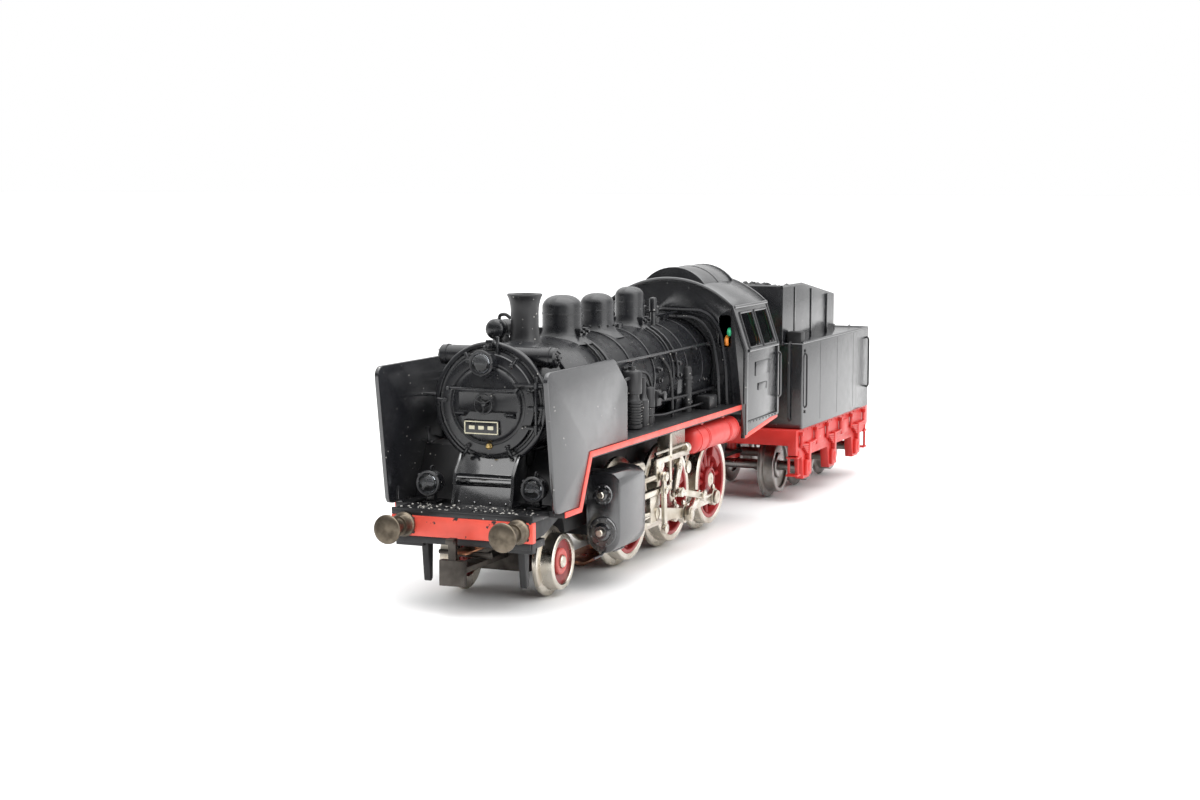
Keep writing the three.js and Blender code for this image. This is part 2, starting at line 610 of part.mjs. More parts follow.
function ponyTruck() {
  const bearing = block([-2.6, 2.6], [-5.2, 5.2], [ponyAxleZ - 1.7, truckArmZ[1] + 0.6]);
  const arm = plateZ([[2, -2.6], [2, 2.6], [ponyPivotX, 1.9], [ponyPivotX, -1.9]], truckArmZ);
  const eye = roundZ(2.2, truckArmZ, ponyPivotX, 0, 18);
  const couplerArm = block([2, couplerX[0] + 0.2], [-1.5, 1.5], [6.5, 7.4]);
  const plate = block(couplerX, [-2.15, 2.15], [4.7, 8.8]);
  const tab = block([couplerX[0] + 0.2, couplerX[1] - 0.2], [-0.65, 0.65], [8.7, 12.3]);
  const hookTip = block([couplerX[0] + 0.2, couplerX[1] + 0.7], [-0.65, 0.65], [11.5, 12.3]);
  const axleBore = roundY(ponyAxleRadius + runningGap, [-20, 20], 0, ponyAxleZ, 16);
  const pivotBore = roundZ(1.0, [0, 20], ponyPivotX, 0, 14);
  return cut(join(bearing, arm, eye, couplerArm, plate, tab, hookTip), axleBore, pivotBore);
}

addPiece('pony_truck', ponyTruck(), darkMetal);

// ---------------------------------------------------------------- front beam and buffers
function frontBeam() {
  const beam = block([beamFrontX - 1.2, beamFrontX], [-platformHalfWidth, platformHalfWidth],
    [11.6, platformTop - 1.0]);
  const stripY = [-platformHalfWidth + 0.6, platformHalfWidth - 0.6];
  const strip = block([11, beamFrontX - 0.4], stripY, [10.5, 11.7]);
  const irons = sides.map(([, side]) => plateY(
    [[11.2, 3.4], [12.2, 3.4], [13.0, 11], [11.2, 11]], onSide(side, [8.0, 9.2])));
  const brackets = sides.map(([, side]) => block([11, beamFrontX - 0.4], onSide(side, [6.6, 7.8]),
    [11.4, frontFrameZ[1] - 0.4]));
  return join(beam, strip, irons, brackets);
}

addPiece('buffer_beam', frontBeam(), redPaint);

function buffer(direction, base, y) {
  const at = (distance) => base + direction * distance;
  const profile = [
    [0, at(seatGap)], [1.7, at(seatGap)], [1.7, at(2.3)], [1.25, at(2.6)], [1.25, at(bufferLength - 1.5)],
    [bufferHeadRadius, at(bufferLength - 0.9)], [bufferHeadRadius, at(bufferLength - 0.3)],
    [bufferHeadRadius - 0.35, at(bufferLength)], [0, at(bufferLength)],
  ];
  return turnedX(profile, y, bufferHeight, 20);
}

for (const [name, side] of sides) {
  addPiece(`buffer_front_${name}`, buffer(1, beamFrontX, side * bufferSpread), darkMetal);
  addPiece(`buffer_rear_${name}`, buffer(-1, rearBeamX, side * bufferSpread), darkMetal);
}

// ---------------------------------------------------------------- boiler, boards and cab: one casting
const lampZ = 19.2;
const lampY = 9.4;
const lampFaceX = 10.3;
const topLampZ = boilerAxisZ + 6.9;
const topLampFaceX = 9.6;
const lampBodyRadius = 1.95;
const lensRadius = 1.4;
const lensDepth = 1.0;
const saddleY = [-5.5, 5.5];
const chimneyX = -7.4;
const heaterX = 2.6;

function roofArc(halfWidth, eaveZ, topZ, steps) {
  const rise = topZ - eaveZ;
  const radius = (halfWidth ** 2 + rise ** 2) / (2 * rise);
  const spread = (Math.asin(halfWidth / radius) * 180) / Math.PI;
  return arc([0, topZ - radius], radius, 90 - spread, 90 + spread, steps);
}

function cabOutline(inset, bottom) {
  const side = cabHalfWidth - inset;
  const eave = cabEaveHalfWidth - inset;
  const roof = roofArc(eave, cabEaveZ - inset * 0.5, cabRoofZ - inset, 12);
  return [[side, bottom], [side, cabWaistZ], ...roof, [-side, cabWaistZ], [-side, bottom]];
}

function cab() {
  const bottom = boardTop - 6.9;
  const deep = bottom - 10;
  const shell = barX(cabOutline(0, bottom), [cabRearX, cabFrontX]);
  const hollow = barX(cabOutline(cabWall, deep), [cabRearX - 1, cabFrontX - cabWall]);
  const frontWall = [cabFrontX - 2, cabFrontX + 1];
  const insideY = [-cabHalfWidth + cabWall, cabHalfWidth - cabWall];
  const tools = [hollow, block(frontWall, insideY, [deep, boardBottom])];
  const sideWindowZ = [cabWaistZ + 0.3, cabEaveZ - 1.3];
  const frontWindowZ = [cabWaistZ + 0.5, cabEaveZ - 1.6];
  const frontWindowY = [cabEaveHalfWidth - 2.9, cabEaveHalfWidth - 0.3];
  for (const [, side] of sides) {
    const wallY = onSide(side, [cabEaveHalfWidth - 3.2, cabHalfWidth + 4]);
    tools.push(block([cabFrontX - 10.1, cabFrontX - 2.9], wallY, sideWindowZ));
    tools.push(block([cabFrontX - 18.9, cabFrontX - 11.5], wallY, sideWindowZ));
    tools.push(block(frontWall, onSide(side, frontWindowY), frontWindowZ));
  }
  const underside = [
    [cabFrontX + 1, deep], [cabFrontX + 1, bottom + 0.1], [cabRearX - 1, bottom + 2.7], [cabRearX - 1, deep],
  ];
  tools.push(plateY(underside, [-cabHalfWidth - 4, cabHalfWidth + 4]));
  const floorX = [cabRearX + 1.2, cabFrontX - 0.5];
  const floorY = [-cabHalfWidth + 0.5, cabHalfWidth - 0.5];
  const floor = block(floorX, floorY, [cabFloorZ, cabFloorZ + floorThickness]);
  const ventOutline = roofArc(ventHalfWidth, cabRoofZ - 1.6, cabRoofZ + ventRise, 8);
  const vent = cut(barX(ventOutline, [cabFrontX - 19.7, cabFrontX - 2.5]), hollow);
  return join(cut(shell, tools), floor, vent);
}

function runningBoard(side) {
  const board = block([cabFrontX - 0.5, 0.2], onSide(side, [4.0, boardHalfWidth]), [boardBottom, boardTop]);
  const slope = [
    [0.2, boardTop], [-0.6, boardTop], [-0.6, boardBottom], [3.9, platformBottom],
    [10.6, platformBottom], [10.6, platformTop], [4.6, platformTop],
  ];
  return join(board, plateY(slope, onSide(side, [5.0, boardHalfWidth])));
}

function saddle() {
  const top = boilerAxisZ - 7.6;
  const stepZ = platformTop + 3.7;
  const outline = [
    [-6.4, platformBottom], [8.9, platformBottom], [8.0, platformTop + 1.5], [6.2, top - 2.2],
    [5.2, top], [-6.4, top],
  ];
  const step = block([5.5, 8.6], saddleY, [stepZ, stepZ + 0.7]);
  return join(plateY(outline, saddleY), step);
}

function lampHousing(faceX, y, z) {
  const seatRadius = lensRadius + seatGap;
  const profile = [
    [0, faceX - 3.2], [1.2, faceX - 3.2], [lampBodyRadius, faceX - 2.4], [lampBodyRadius, faceX],
    [seatRadius, faceX], [seatRadius, faceX - lensDepth], [0, faceX - lensDepth],
  ];
  return turnedX(profile, y, z, 14);
}

function chimney() {
  const profile = [
    [0, 5.8], [2.9, 8.2], [2.4, 9.4], [2.3, 15.4], [2.9, 16.1], [2.9, 17.2], [1.8, 17.2], [1.8, 10.8],
    [0, 10.8],
  ];
  return turnedZ(profile.map(([r, rise]) => [r, boilerAxisZ + rise]), chimneyX, 0, 16);
}

function dome(x, radius, rise) {
  const topZ = boilerAxisZ + rise;
  const crown = topZ - radius * 0.75;
  const footZ = boilerAxisZ + boilerRadius;
  const profile = [[0, footZ - 5], [radius + 0.7, footZ - 1.6], [radius, footZ + 0.6]];
  profile.push([radius, crown]);
  for (const angle of [25, 50, 72]) {
    profile.push([radius * Math.cos(rad(angle)), crown + (topZ - crown) * Math.sin(rad(angle))]);
  }
  profile.push([0, topZ]);
  return turnedZ(profile, x, 0, 16);
}

function bodyCasting() {
  const axis = boilerAxisZ;
  const boiler = roundX(boilerRadius, [cabFrontX - 0.4, smokeboxFrontX], 0, axis, 28);
  const smokebox = roundX(smokeboxRadius, [-15.5, smokeboxFrontX], 0, axis, 28);
  const fireboxY = [motorBayHalfY, motorBayHalfY + fireboxWall];
  const firebox = sides.map(([, side]) =>
    block([cabFrontX, fireboxFrontX], onSide(side, fireboxY), [boardBottom, axis - 2.2]));
  const preheater = roundY(1.65, [-10.5, 10.5], heaterX, axis + 7.5, 16);
  const generator = roundX(1.6, [-11, -5], -4.7, axis + 11.2, 16);
  const generatorFoot = block([-9.6, -6.4], [-5.6, -3.8], [axis + 5.8, axis + 10.8]);
  const pumpY = boilerRadius + 0.8;
  const airPump = roundZ(1.9, [boardTop - 0.2, axis + 3.3], -31, pumpY, 16);
  const feedPump = roundZ(1.9, [boardTop - 0.2, axis + 2.3], -37, -pumpY, 16);
  const platformY = [-platformHalfWidth, platformHalfWidth];
  const platform = block([3.5, beamFrontX], platformY, [platformBottom, platformTop]);
  const lowLamps = sides.flatMap(([, side]) => {
    const postY = onSide(side, [lampY - 0.5, lampY + 0.5]);
    const post = block([lampFaceX - 2.2, lampFaceX - 1.2], postY, [platformTop - 0.3, lampZ - 1.5]);
    return [lampHousing(lampFaceX, side * lampY, lampZ), post];
  });
  const topLamp = [lampHousing(topLampFaceX, 0, topLampZ),
    block([3.6, topLampFaceX - 1.6], [-0.6, 0.6], [topLampZ + 0.9, topLampZ + 1.8])];
  const domes = domeCentres.map((x, i) => dome(x, domeRadii[i], domeTops[i]));
  const solid = join(boiler, smokebox, firebox, preheater, generator, generatorFoot, airPump, feedPump,
    platform, runningBoard(1), runningBoard(-1), saddle(), chimney(), lowLamps, topLamp, domes, cab());
  const bore = roundX(boilerRadius - boilerWall, [cabFrontX + 1.2, smokeboxFrontX + 1], 0, axis, 24);
  const bayX = [cabFrontX - cabWall - 0.1, fireboxFrontX];
  const bayY = [-motorBayHalfY, motorBayHalfY];
  const motorBay = join(block(bayX, bayY, [boardBottom - 5.2, axis - 2.2]),
    block([cabFrontX + 1.2, fireboxFrontX], bayY, [axis - 2.3, motorCentre[1] + 3.3]));
  const bulbSlot = block([-17, -10.5], [-3.2, 3.2], [axis - 14.2, axis - 4.2]);
  const leadSlot = block([cabFrontX - 2, cabFrontX + 3], [-5.6, 5.6], [axis - 4.2, axis + 3.8]);
  const lensSeats = sides.map(([, side]) =>
    roundX(lensRadius + seatGap, [lampFaceX - lensDepth, lampFaceX + 1], side * lampY, lampZ, 14));
  return cut(solid, bore, motorBay, bulbSlot, leadSlot, lensSeats);
}

addPiece('body_casting', bodyCasting(), blackPaint);

function smokeboxFront() {
  const x = smokeboxFrontX + seatGap;
  const plugRadius = boilerRadius - boilerWall - 0.15;
  const profile = [
    [0, x - 3], [plugRadius, x - 3], [plugRadius, x],
    [smokeboxRingRadius, x], [smokeboxRingRadius, x + 0.9], [smokeboxRingRadius - 0.5, x + 1.3],
    [8.6, x + 1.3], [8.3, x + 1.9], [7.4, x + 2.1], [6.3, x + 2.3], [0, x + 2.9],
  ];
  const face = turnedX(profile, 0, boilerAxisZ, 28);
  const saddleCutY = [saddleY[0] - 0.2, saddleY[1] + 0.2];
  const saddleCut = block([x - 0.2, x + 4], saddleCutY, [boilerAxisZ - 12.2, boilerAxisZ - 7.4]);
  const lampCut = block([x - 0.2, x + 6], [-2.2, 2.2], [topLampZ - 2.2, boilerAxisZ + 12.8]);
  const preheaterCut = block([x - 0.3, x + 4], [-10.7, 10.7], [boilerAxisZ + 9.4, boilerAxisZ + 12.8]);
  const hinge = roundZ(0.45, [boilerAxisZ - 4.6, boilerAxisZ + 4.4], x + 1.9, 8.3, 8);
  const wheelBoss = roundX(1.5, [x + 2.7, x + 3.9], 0, boilerAxisZ + 0.4, 14);
  return join(cut(face, saddleCut, lampCut, preheaterCut), hinge, wheelBoss);
}

addPiece('smokebox_front', smokeboxFront(), blackPaint);

for (const [name, side] of sides) {
  const lens = [lampFaceX - 0.9, lampFaceX + 0.1];
  addPiece(`lamp_lens_${name}`, roundX(lensRadius, lens, side * lampY, lampZ, 14), clearPlastic);
}
const topLens = [topLampFaceX - 0.9, topLampFaceX + 0.1];
addPiece('lamp_lens_top', roundX(lensRadius, topLens, 0, topLampZ, 14), clearPlastic);

const bulbProfile = [[0, seatGap], [1.9, seatGap], [1.9, 4], [1.5, 4.4], [1.5, 8], [0.9, 9.3], [0, 9.7]];
const bulbSolid = turnedZ(bulbProfile.map(([r, rise]) => [r, frameTop + rise]), -13.7, 0, 16);
addPiece('headlamp_bulb', bulbSolid, clearPlastic);

// ---------------------------------------------------------------- smoke deflectors
function deflector(side) {
  const bottom = boardTop + seatGap;
  const footZ = platformTop + seatGap;
  const top = boilerAxisZ + 6.5;
  const outline = [
    [-16, bottom], [0.5, bottom], [4.7, footZ], [12.6, footZ], [14.2, platformTop + 1.3], [17.3, top - 1.7],
    [16.6, top - 0.4], [15.6, top], [-9.5, top], [-16, top - 5.2],
  ];
  const outer = boardHalfWidth;
  const sheet = plateY(outline, onSide(side, [outer - deflectorThickness, outer]));
  const stay = roundY(0.4, onSide(side, [smokeboxRadius + 0.4, outer - 0.4]), 0.5, boilerAxisZ + 0.5, 8);
  return join(sheet, stay);
}

for (const [name, side] of sides) addPiece(`deflector_${name}`, deflector(side), blackPaint);

// ---------------------------------------------------------------- air reservoirs under the running boards
function airReservoir(side) {
  const z = boardBottom - 0.7 - reservoirRadius;
  const y = boardHalfWidth - 2.2;
  const rear = cabFrontX + 0.5;
  const front = rear + reservoirLength;
  const shoulder = reservoirRadius - 0.8;
  const tank = turnedX([[0, rear], [shoulder, rear + 0.1], [reservoirRadius, rear + 1.2],
    [reservoirRadius, front - 1.4], [shoulder, front - 0.2], [0, front]], side * y, z, 18);
  const straps = [rear + 6.0, rear + 18.0].map((x) =>
    block([x - 0.6, x + 0.6], onSide(side, [y - 0.8, y + 0.8]), [z + 2, boardBottom - seatGap]));
  return join(tank, straps);
}

for (const [name, side] of sides) addPiece(`air_reservoir_${name}`, airReservoir(side), redPaint);

// ---------------------------------------------------------------- motor and gears
const armatureRadius = 4.0;
const motorShaftRadius = 0.75;
const motorHalfY = 4.6;

function motorField() {
  const [x, z] = motorCentre;
  const shell = block([x - 6, x + 6], [-frameHalfWidth, motorHalfY], [frameTop + seatGap, z + 6.4]);
  const bore = roundY(armatureRadius + sideGap, [-motorHalfY + 0.2, motorHalfY + 1], x, z, 24);
  const shaftBore = roundY(motorShaftRadius + runningGap, [-10, 10], x, z, 12);
  return cut(shell, bore, shaftBore);
}

function armature() {
  const [x, z] = motorCentre;
  const core = roundY(armatureRadius, [-motorHalfY + 0.5, motorHalfY - 1.4], x, z, 20);
  const commutator = roundY(2.4, [motorHalfY - 1.5, motorHalfY - 0.3], x, z, 16);
  const shaft = roundY(motorShaftRadius, [gearY[0], motorHalfY + 1.4], x, z, 12);
  return join(core, commutator, shaft, gear(pinionTeeth, motorCentre, pinionPhase, 0));
}

function brushPlate() {
  const [x, z] = motorCentre;
  const plate = block([x - 5.8, x + 5.8], [motorHalfY + 0.1, motorHalfY + 1.1], [frameTop + 0.3, z + 5.2]);
  const brushes = [-1, 1].map((s) => roundY(0.9, [motorHalfY + 1.0, motorHalfY + 1.9], x + s * 3.2, z, 12));
  return cut(join(plate, brushes), roundY(motorShaftRadius + runningGap, [0, 10], x, z, 12));
}

function idlerGear() {
  const wheel = gear(idlerTeeth, idlerCentre, idlerPhase, 0);
  return join(wheel, roundY(idlerShaftRadius, [gearY[1] - 0.1, -0.8], ...idlerCentre, 14));
}

addPiece('motor_field', motorField(), darkMetal);
addPiece('motor_armature', armature(), copper);
addPiece('brush_plate', brushPlate(), greyPlastic);
addPiece('idler_gear', idlerGear(), brass);

// leads from the brush plate back into the cab
function lead(points, radius) {
  const curve = new THREE.CatmullRomCurve3(points.map((p) => new THREE.Vector3(...p)));
  const section = new THREE.Shape(arc([0, 0], radius, 0, 315, 7).map(([x, y]) => new THREE.Vector2(x, y)));
  const settings = { steps: 20, extrudePath: curve, bevelEnabled: false };
  return solidFrom(new THREE.ExtrudeGeometry(section, settings));
}

const [motorX, motorZ] = motorCentre;
addPiece('motor_lead_orange', lead([
  [motorX - 2.0, motorHalfY + 0.6, motorZ + 5.7], [motorX - 3.6, motorHalfY + 0.7, motorZ + 6.2],
  [motorX - 7.0, motorHalfY + 0.5, 34.8], [cabFrontX - 1.6, 4.8, 34.9], [cabFrontX - 2.6, 6.2, 35.6],
  [cabFrontX - 3.2, 8.6, 36.6], [cabFrontX - 4.2, 11.4, 37.4], [cabFrontX - 7.0, 12.4, 36.8],
  [cabFrontX - 9.4, 11.5, 33.0], [cabFrontX - 9.8, 10.5, 28.0], [cabFrontX - 9.8, 10.2, 22.5],
], 0.45), orangeLead);
addPiece('motor_lead_green', lead([
  [motorX - 7.0, 1.2, motorZ + 2.2], [motorX - 8.2, 1.2, motorZ + 3.4], [cabFrontX - 2.2, 1.6, motorZ + 4.0],
  [cabFrontX - 4.8, 3.4, 33.6], [cabFrontX - 5.4, 7.0, 35.4], [cabFrontX - 5.8, 10.0, 38.6],
  [cabFrontX - 7.4, 11.2, 39.6], [cabFrontX - 11.4, 10.2, 36.0], [cabFrontX - 12.6, 8.6, 28.0],
  [cabFrontX - 12.6, 8.2, 22.5],
], 0.45), greenLead);

// ---------------------------------------------------------------- sprung pickup shoe
function pickupShoe() {
  const outline = [
    [-25.9, 1.9], [-22.9, 0.9], [15.1, 0.9], [18.1, 1.7], [18.1, 1.2], [15.1, 0.35], [-22.9, 0.35],
    [-25.9, 1.4],
  ];
  const sole = plateY(outline.map(([x, z]) => [shoeX + x, z]), [-3.2, 3.2]);
  const postX = [shoeX - shoePostHalf[0], shoeX + shoePostHalf[0]];
  const post = block(postX, [-shoePostHalf[1], shoePostHalf[1]], [0.6, frameBottom + 2.0]);
  return join(sole, post);
}

addPiece('pickup_shoe', pickupShoe(), nickel);

// ---------------------------------------------------------------- drawbar and tender
function drawbar() {
  const bar = block([tenderPinX, enginePinX], [-1.7, 1.7], drawbarZ);
  const eyes = [enginePinX, tenderPinX].map((x) => roundZ(2.2, drawbarZ, x, 0, 18));
  const bores = [enginePinX, tenderPinX].map((x) => roundZ(drawPinRadius + runningGap, [0, 20], x, 0, 14));
  return cut(join(bar, eyes), bores);
}

addPiece('drawbar', drawbar(), darkMetal);

const couplerPivotX = rearBeamX + 4.5;
const rearCouplerZ = [6.6, 7.6];

function tenderFrame() {
  const tailX = rearBeamX;
  const acrossY = [-tenderWebY[0] - 0.2, tenderWebY[0] + 0.2];
  const plate = block([tailX, tenderFrontX], acrossY, [tenderFloorZ - 0.9, tenderFloorZ]);
  const rearBeam = block([tailX, tailX + 1.4], acrossY, [10.4, tenderFloorZ]);
  const frontBeamPiece = block([tenderFrontX - 1.2, tenderFrontX], acrossY, [12.2, tenderFloorZ]);
  const webs = sides.flatMap(([, side]) => {
    const range = onSide(side, tenderWebY);
    const outline = [[tailX, tenderFloorZ], [tailX, 11.2], [tailX + 4.2, 9.6]];
    for (const x of [...tenderAxleX].reverse()) {
      outline.push([x - 3.4, 9.4], [x - 2.2, 4.6], [x + 2.2, 4.6], [x + 3.4, 9.4]);
    }
    outline.push([tenderFrontX, 10.2], [tenderFrontX, tenderFloorZ]);
    const boxY = onSide(side, [tenderWebY[1] - 0.1, tenderWebY[1] + 0.4]);
    const boxZ = [tenderAxleZ - 1.7, tenderAxleZ + 1.7];
    const boxes = tenderAxleX.map((x) => block([x - 1.5, x + 1.5], boxY, boxZ));
    return [plateY(outline, range), ...boxes];
  });
  const bores = tenderAxleX.map((x) =>
    roundY(tenderAxleRadius + runningGap, [-tenderAxleEnd - 0.1, tenderAxleEnd + 0.1], x, tenderAxleZ, 12));
  const drawPin = headedPin(drawbarZ, tenderFloorZ - 0.5, tenderPinX);
  const couplerPin = headedPin(rearCouplerZ, tenderFloorZ - 0.5, couplerPivotX);
  return join(cut(join(plate, rearBeam, frontBeamPiece, webs), bores), drawPin, couplerPin);
}

addPiece('tender_frame', tenderFrame(), redPaint);

function tenderBody() {
  const rearX = rearBeamX + 1.4;
  const frontX = tenderFrontX - 2.5;
  const bottom = tenderFloorZ + 0.1;
  const tank = block([rearX, frontX], [-tenderHalfWidth, tenderHalfWidth], [bottom, tenderDeckZ]);
  const hollow = block([rearX + 1, frontX - 1], [-tenderHalfWidth + 1, tenderHalfWidth - 1],
    [bottom - 1, tenderDeckZ - 1]);
  const bunkerX = [rearBeamX + bunkerRearGap, tenderFrontX - 1];
  const insideX = [bunkerX[0] + bunkerWall, bunkerX[1] - bunkerWall];
  const insideY = [-bunkerHalfWidth + bunkerWall, bunkerHalfWidth - bunkerWall];
  const bunkerTop = tenderDeckZ + 12.2;
  const bunkerOutline = [
    [bunkerX[0], tenderDeckZ - 0.4], [bunkerX[1], tenderDeckZ - 0.4], [bunkerX[1], bunkerTop],
    [tenderFrontX - 15, bunkerTop], [bunkerX[0], bunkerTop - 3.7],
  ];
  const bunker = plateY(bunkerOutline, [-bunkerHalfWidth, bunkerHalfWidth]);
  const coalOutline = [
    [insideX[0], tenderDeckZ + 5.2], [insideX[1], tenderDeckZ + 9.7], [insideX[1], bunkerTop + 4],
    [insideX[0], bunkerTop + 4],
  ];
  const coalHole = plateY(coalOutline, insideY);
  const hatch = block([rearBeamX + 6.5, rearBeamX + 13.0], [-4, 4], [tenderDeckZ - 0.2, tenderDeckZ + 1.2]);
  return join(cut(tank, hollow), cut(bunker, coalHole), hatch);
}

addPiece('tender_body', tenderBody(), blackPaint);

function rearCoupler() {
  const shank = block([rearHookX + 2.6, couplerPivotX], [-1.6, 1.6], rearCouplerZ);
  const eye = roundZ(2.1, rearCouplerZ, couplerPivotX, 0, 18);
  const head = block([rearHookX + 1.6, rearHookX + 3.0], [-3.4, 3.4], [rearCouplerZ[0], 9.6]);
  const bail = sides.map(([, side]) =>
    block([rearHookX, rearHookX + 1.8], onSide(side, [2.5, 3.4]), [8.4, 9.4]));
  const bar = block([rearHookX, rearHookX + 0.8], [-3.4, 3.4], [8.4, 9.4]);
  const bore = roundZ(drawPinRadius + runningGap, [0, 20], couplerPivotX, 0, 14);
  return cut(join(shank, eye, head, bail, bar), bore);
}

addPiece('rear_coupler', rearCoupler(), darkMetal);

model.position.x = -(frontBufferFace + rearHookX) / 2;
model.updateMatrixWorld(true);

export default model;
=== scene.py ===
import json
import math
import random

import bpy
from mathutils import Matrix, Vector

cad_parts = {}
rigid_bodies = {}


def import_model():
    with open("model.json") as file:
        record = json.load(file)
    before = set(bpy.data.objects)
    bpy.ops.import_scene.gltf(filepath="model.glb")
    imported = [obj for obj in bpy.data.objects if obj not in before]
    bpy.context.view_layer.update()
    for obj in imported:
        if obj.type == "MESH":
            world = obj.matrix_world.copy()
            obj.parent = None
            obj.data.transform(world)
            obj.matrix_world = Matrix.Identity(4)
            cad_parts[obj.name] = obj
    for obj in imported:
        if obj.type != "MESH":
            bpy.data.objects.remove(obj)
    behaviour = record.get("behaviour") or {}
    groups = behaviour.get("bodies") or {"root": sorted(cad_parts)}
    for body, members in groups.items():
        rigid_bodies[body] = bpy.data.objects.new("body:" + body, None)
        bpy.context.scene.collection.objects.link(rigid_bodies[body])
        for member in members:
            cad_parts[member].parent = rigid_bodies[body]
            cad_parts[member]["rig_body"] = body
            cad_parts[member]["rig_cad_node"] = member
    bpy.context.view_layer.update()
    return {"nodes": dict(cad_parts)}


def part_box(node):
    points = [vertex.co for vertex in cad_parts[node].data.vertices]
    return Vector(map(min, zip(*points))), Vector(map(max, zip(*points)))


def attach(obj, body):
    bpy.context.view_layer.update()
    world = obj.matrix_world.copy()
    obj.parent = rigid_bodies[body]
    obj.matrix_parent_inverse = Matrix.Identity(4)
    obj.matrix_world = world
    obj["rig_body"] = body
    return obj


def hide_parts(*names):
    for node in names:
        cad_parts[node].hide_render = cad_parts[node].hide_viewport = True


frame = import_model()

mm = 0.001
ponyLow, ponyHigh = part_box("pony_wheelset")
ponyX = (ponyLow.x + ponyHigh.x) / 2  # lengths along the engine are told from the leading axle
sides = (("left", 1), ("right", -1))
along, across, upward = Vector((1, 0, 0)), Vector((0, 1, 0)), Vector((0, 0, 1))


def at(x, y, z):
    return Vector((ponyX + x * mm, y * mm, z * mm))


# modelling helpers


def selectNothing():
    bpy.ops.object.select_all(action="DESELECT")


def makeActive(piece):
    selectNothing()
    piece.select_set(True)
    bpy.context.view_layer.objects.active = piece
    return piece


def settlePlace(piece):
    makeActive(piece)
    bpy.ops.object.transform_apply(location=True, rotation=True, scale=True)
    return piece


def useModifier(piece, kind, **settings):
    makeActive(piece)
    modifier = piece.modifiers.new(kind.title(), kind)
    for key, value in settings.items():
        setattr(modifier, key, value)
    bpy.ops.object.modifier_apply(modifier=modifier.name)
    return piece


def softenEdges(piece, width, segments=2, angle=35):
    return useModifier(piece, "BEVEL", width=width * mm, segments=segments, limit_method="ANGLE",
                       angle_limit=math.radians(angle), use_clamp_overlap=True)


def openEdit(piece):
    makeActive(piece)
    bpy.ops.object.mode_set(mode="EDIT")


def closeEdit():
    bpy.ops.object.mode_set(mode="OBJECT")


def faceOutwards(piece):
    openEdit(piece)
    bpy.ops.mesh.select_all(action="SELECT")
    bpy.ops.mesh.remove_doubles(threshold=0.002 * mm)
    bpy.ops.mesh.normals_make_consistent(inside=False)
    closeEdit()
    return piece


def block(low, high, bevel=0.12):
    selectNothing()
    a, b = at(*low), at(*high)
    bpy.ops.mesh.primitive_cube_add(size=1, location=(a + b) / 2)
    piece = bpy.context.object
    piece.scale = [abs(v) for v in (b - a)]
    settlePlace(piece)
    return softenEdges(piece, bevel) if bevel else piece


def turned(profile, base, axis=along, sides=32):
    # profile is (radius, distance along the axis) in mm, from a flat end
    # a last radius of 0 closes to a point
    selectNothing()
    radius, distance = profile[0]
    turn = axis.to_track_quat("Z", "Y").to_euler()
    bpy.ops.mesh.primitive_circle_add(vertices=sides, radius=radius * mm, fill_type="NGON",
                                      location=base + axis * distance * mm, rotation=turn)
    piece = settlePlace(bpy.context.object)
    openEdit(piece)
    bpy.ops.mesh.select_mode(type="FACE")
    bpy.ops.mesh.select_all(action="SELECT")
    for nextRadius, nextDistance in profile[1:]:
        step = axis * (nextDistance - distance) * mm
        bpy.ops.mesh.extrude_region_move(TRANSFORM_OT_translate={"value": step})
        if nextRadius == 0:
            bpy.ops.mesh.merge(type="CENTER")
            break
        share = nextRadius / radius
        bpy.ops.transform.resize(value=(share, share, share),
                                 center_override=base + axis * nextDistance * mm)
        radius, distance = nextRadius, nextDistance
    closeEdit()
    return faceOutwards(piece)


def traceLine(points):
    # one vertex is drawn along the points, as by hand
    selectNothing()
    bpy.ops.mesh.primitive_circle_add(vertices=3, radius=0.01 * mm, location=points[0])
    piece = settlePlace(bpy.context.object)
    openEdit(piece)
    bpy.ops.mesh.select_mode(type="VERT")
    bpy.ops.mesh.select_all(action="SELECT")
    bpy.ops.mesh.merge(type="CENTER")
    for a, b in zip(points, points[1:]):
        bpy.ops.mesh.extrude_vertices_move(TRANSFORM_OT_translate={"value": b - a})
    return piece


def plate(points, depth, bevel=0.1):
    # a flat outline given its thickness along the vector depth
    piece = traceLine([*points, points[0]])
    bpy.ops.mesh.select_all(action="SELECT")
    bpy.ops.mesh.remove_doubles(threshold=0.002 * mm)
    bpy.ops.mesh.select_all(action="SELECT")
    bpy.ops.mesh.edge_face_add()
    bpy.ops.mesh.extrude_region_move(TRANSFORM_OT_translate={"value": depth})
    closeEdit()
    faceOutwards(piece)
    return softenEdges(piece, bevel) if bevel else piece


def sidePlate(outline, yFrom, yTo, bevel=0.1):
    return plate([at(x, yFrom, z) for x, z in outline], across * (yTo - yFrom) * mm, bevel)


def crossPlate(outline, xFrom, xTo, bevel=0.1):
    return plate([at(xFrom, y, z) for y, z in outline], along * (xTo - xFrom) * mm, bevel)


def spunRing(profile, base, axis=across, steps=48):
    # a closed section of (radius, distance) spun once round the axis
    start = Vector((0, 0, 1)) if abs(axis.z) < 0.5 else Vector((1, 0, 0))
    points = [base + start * r * mm + axis * d * mm for r, d in profile]
    piece = traceLine([*points, points[0]])
    bpy.ops.mesh.select_all(action="SELECT")
    bpy.ops.mesh.spin(steps=steps, angle=math.tau, center=base, axis=axis)
    closeEdit()
    return faceOutwards(piece)


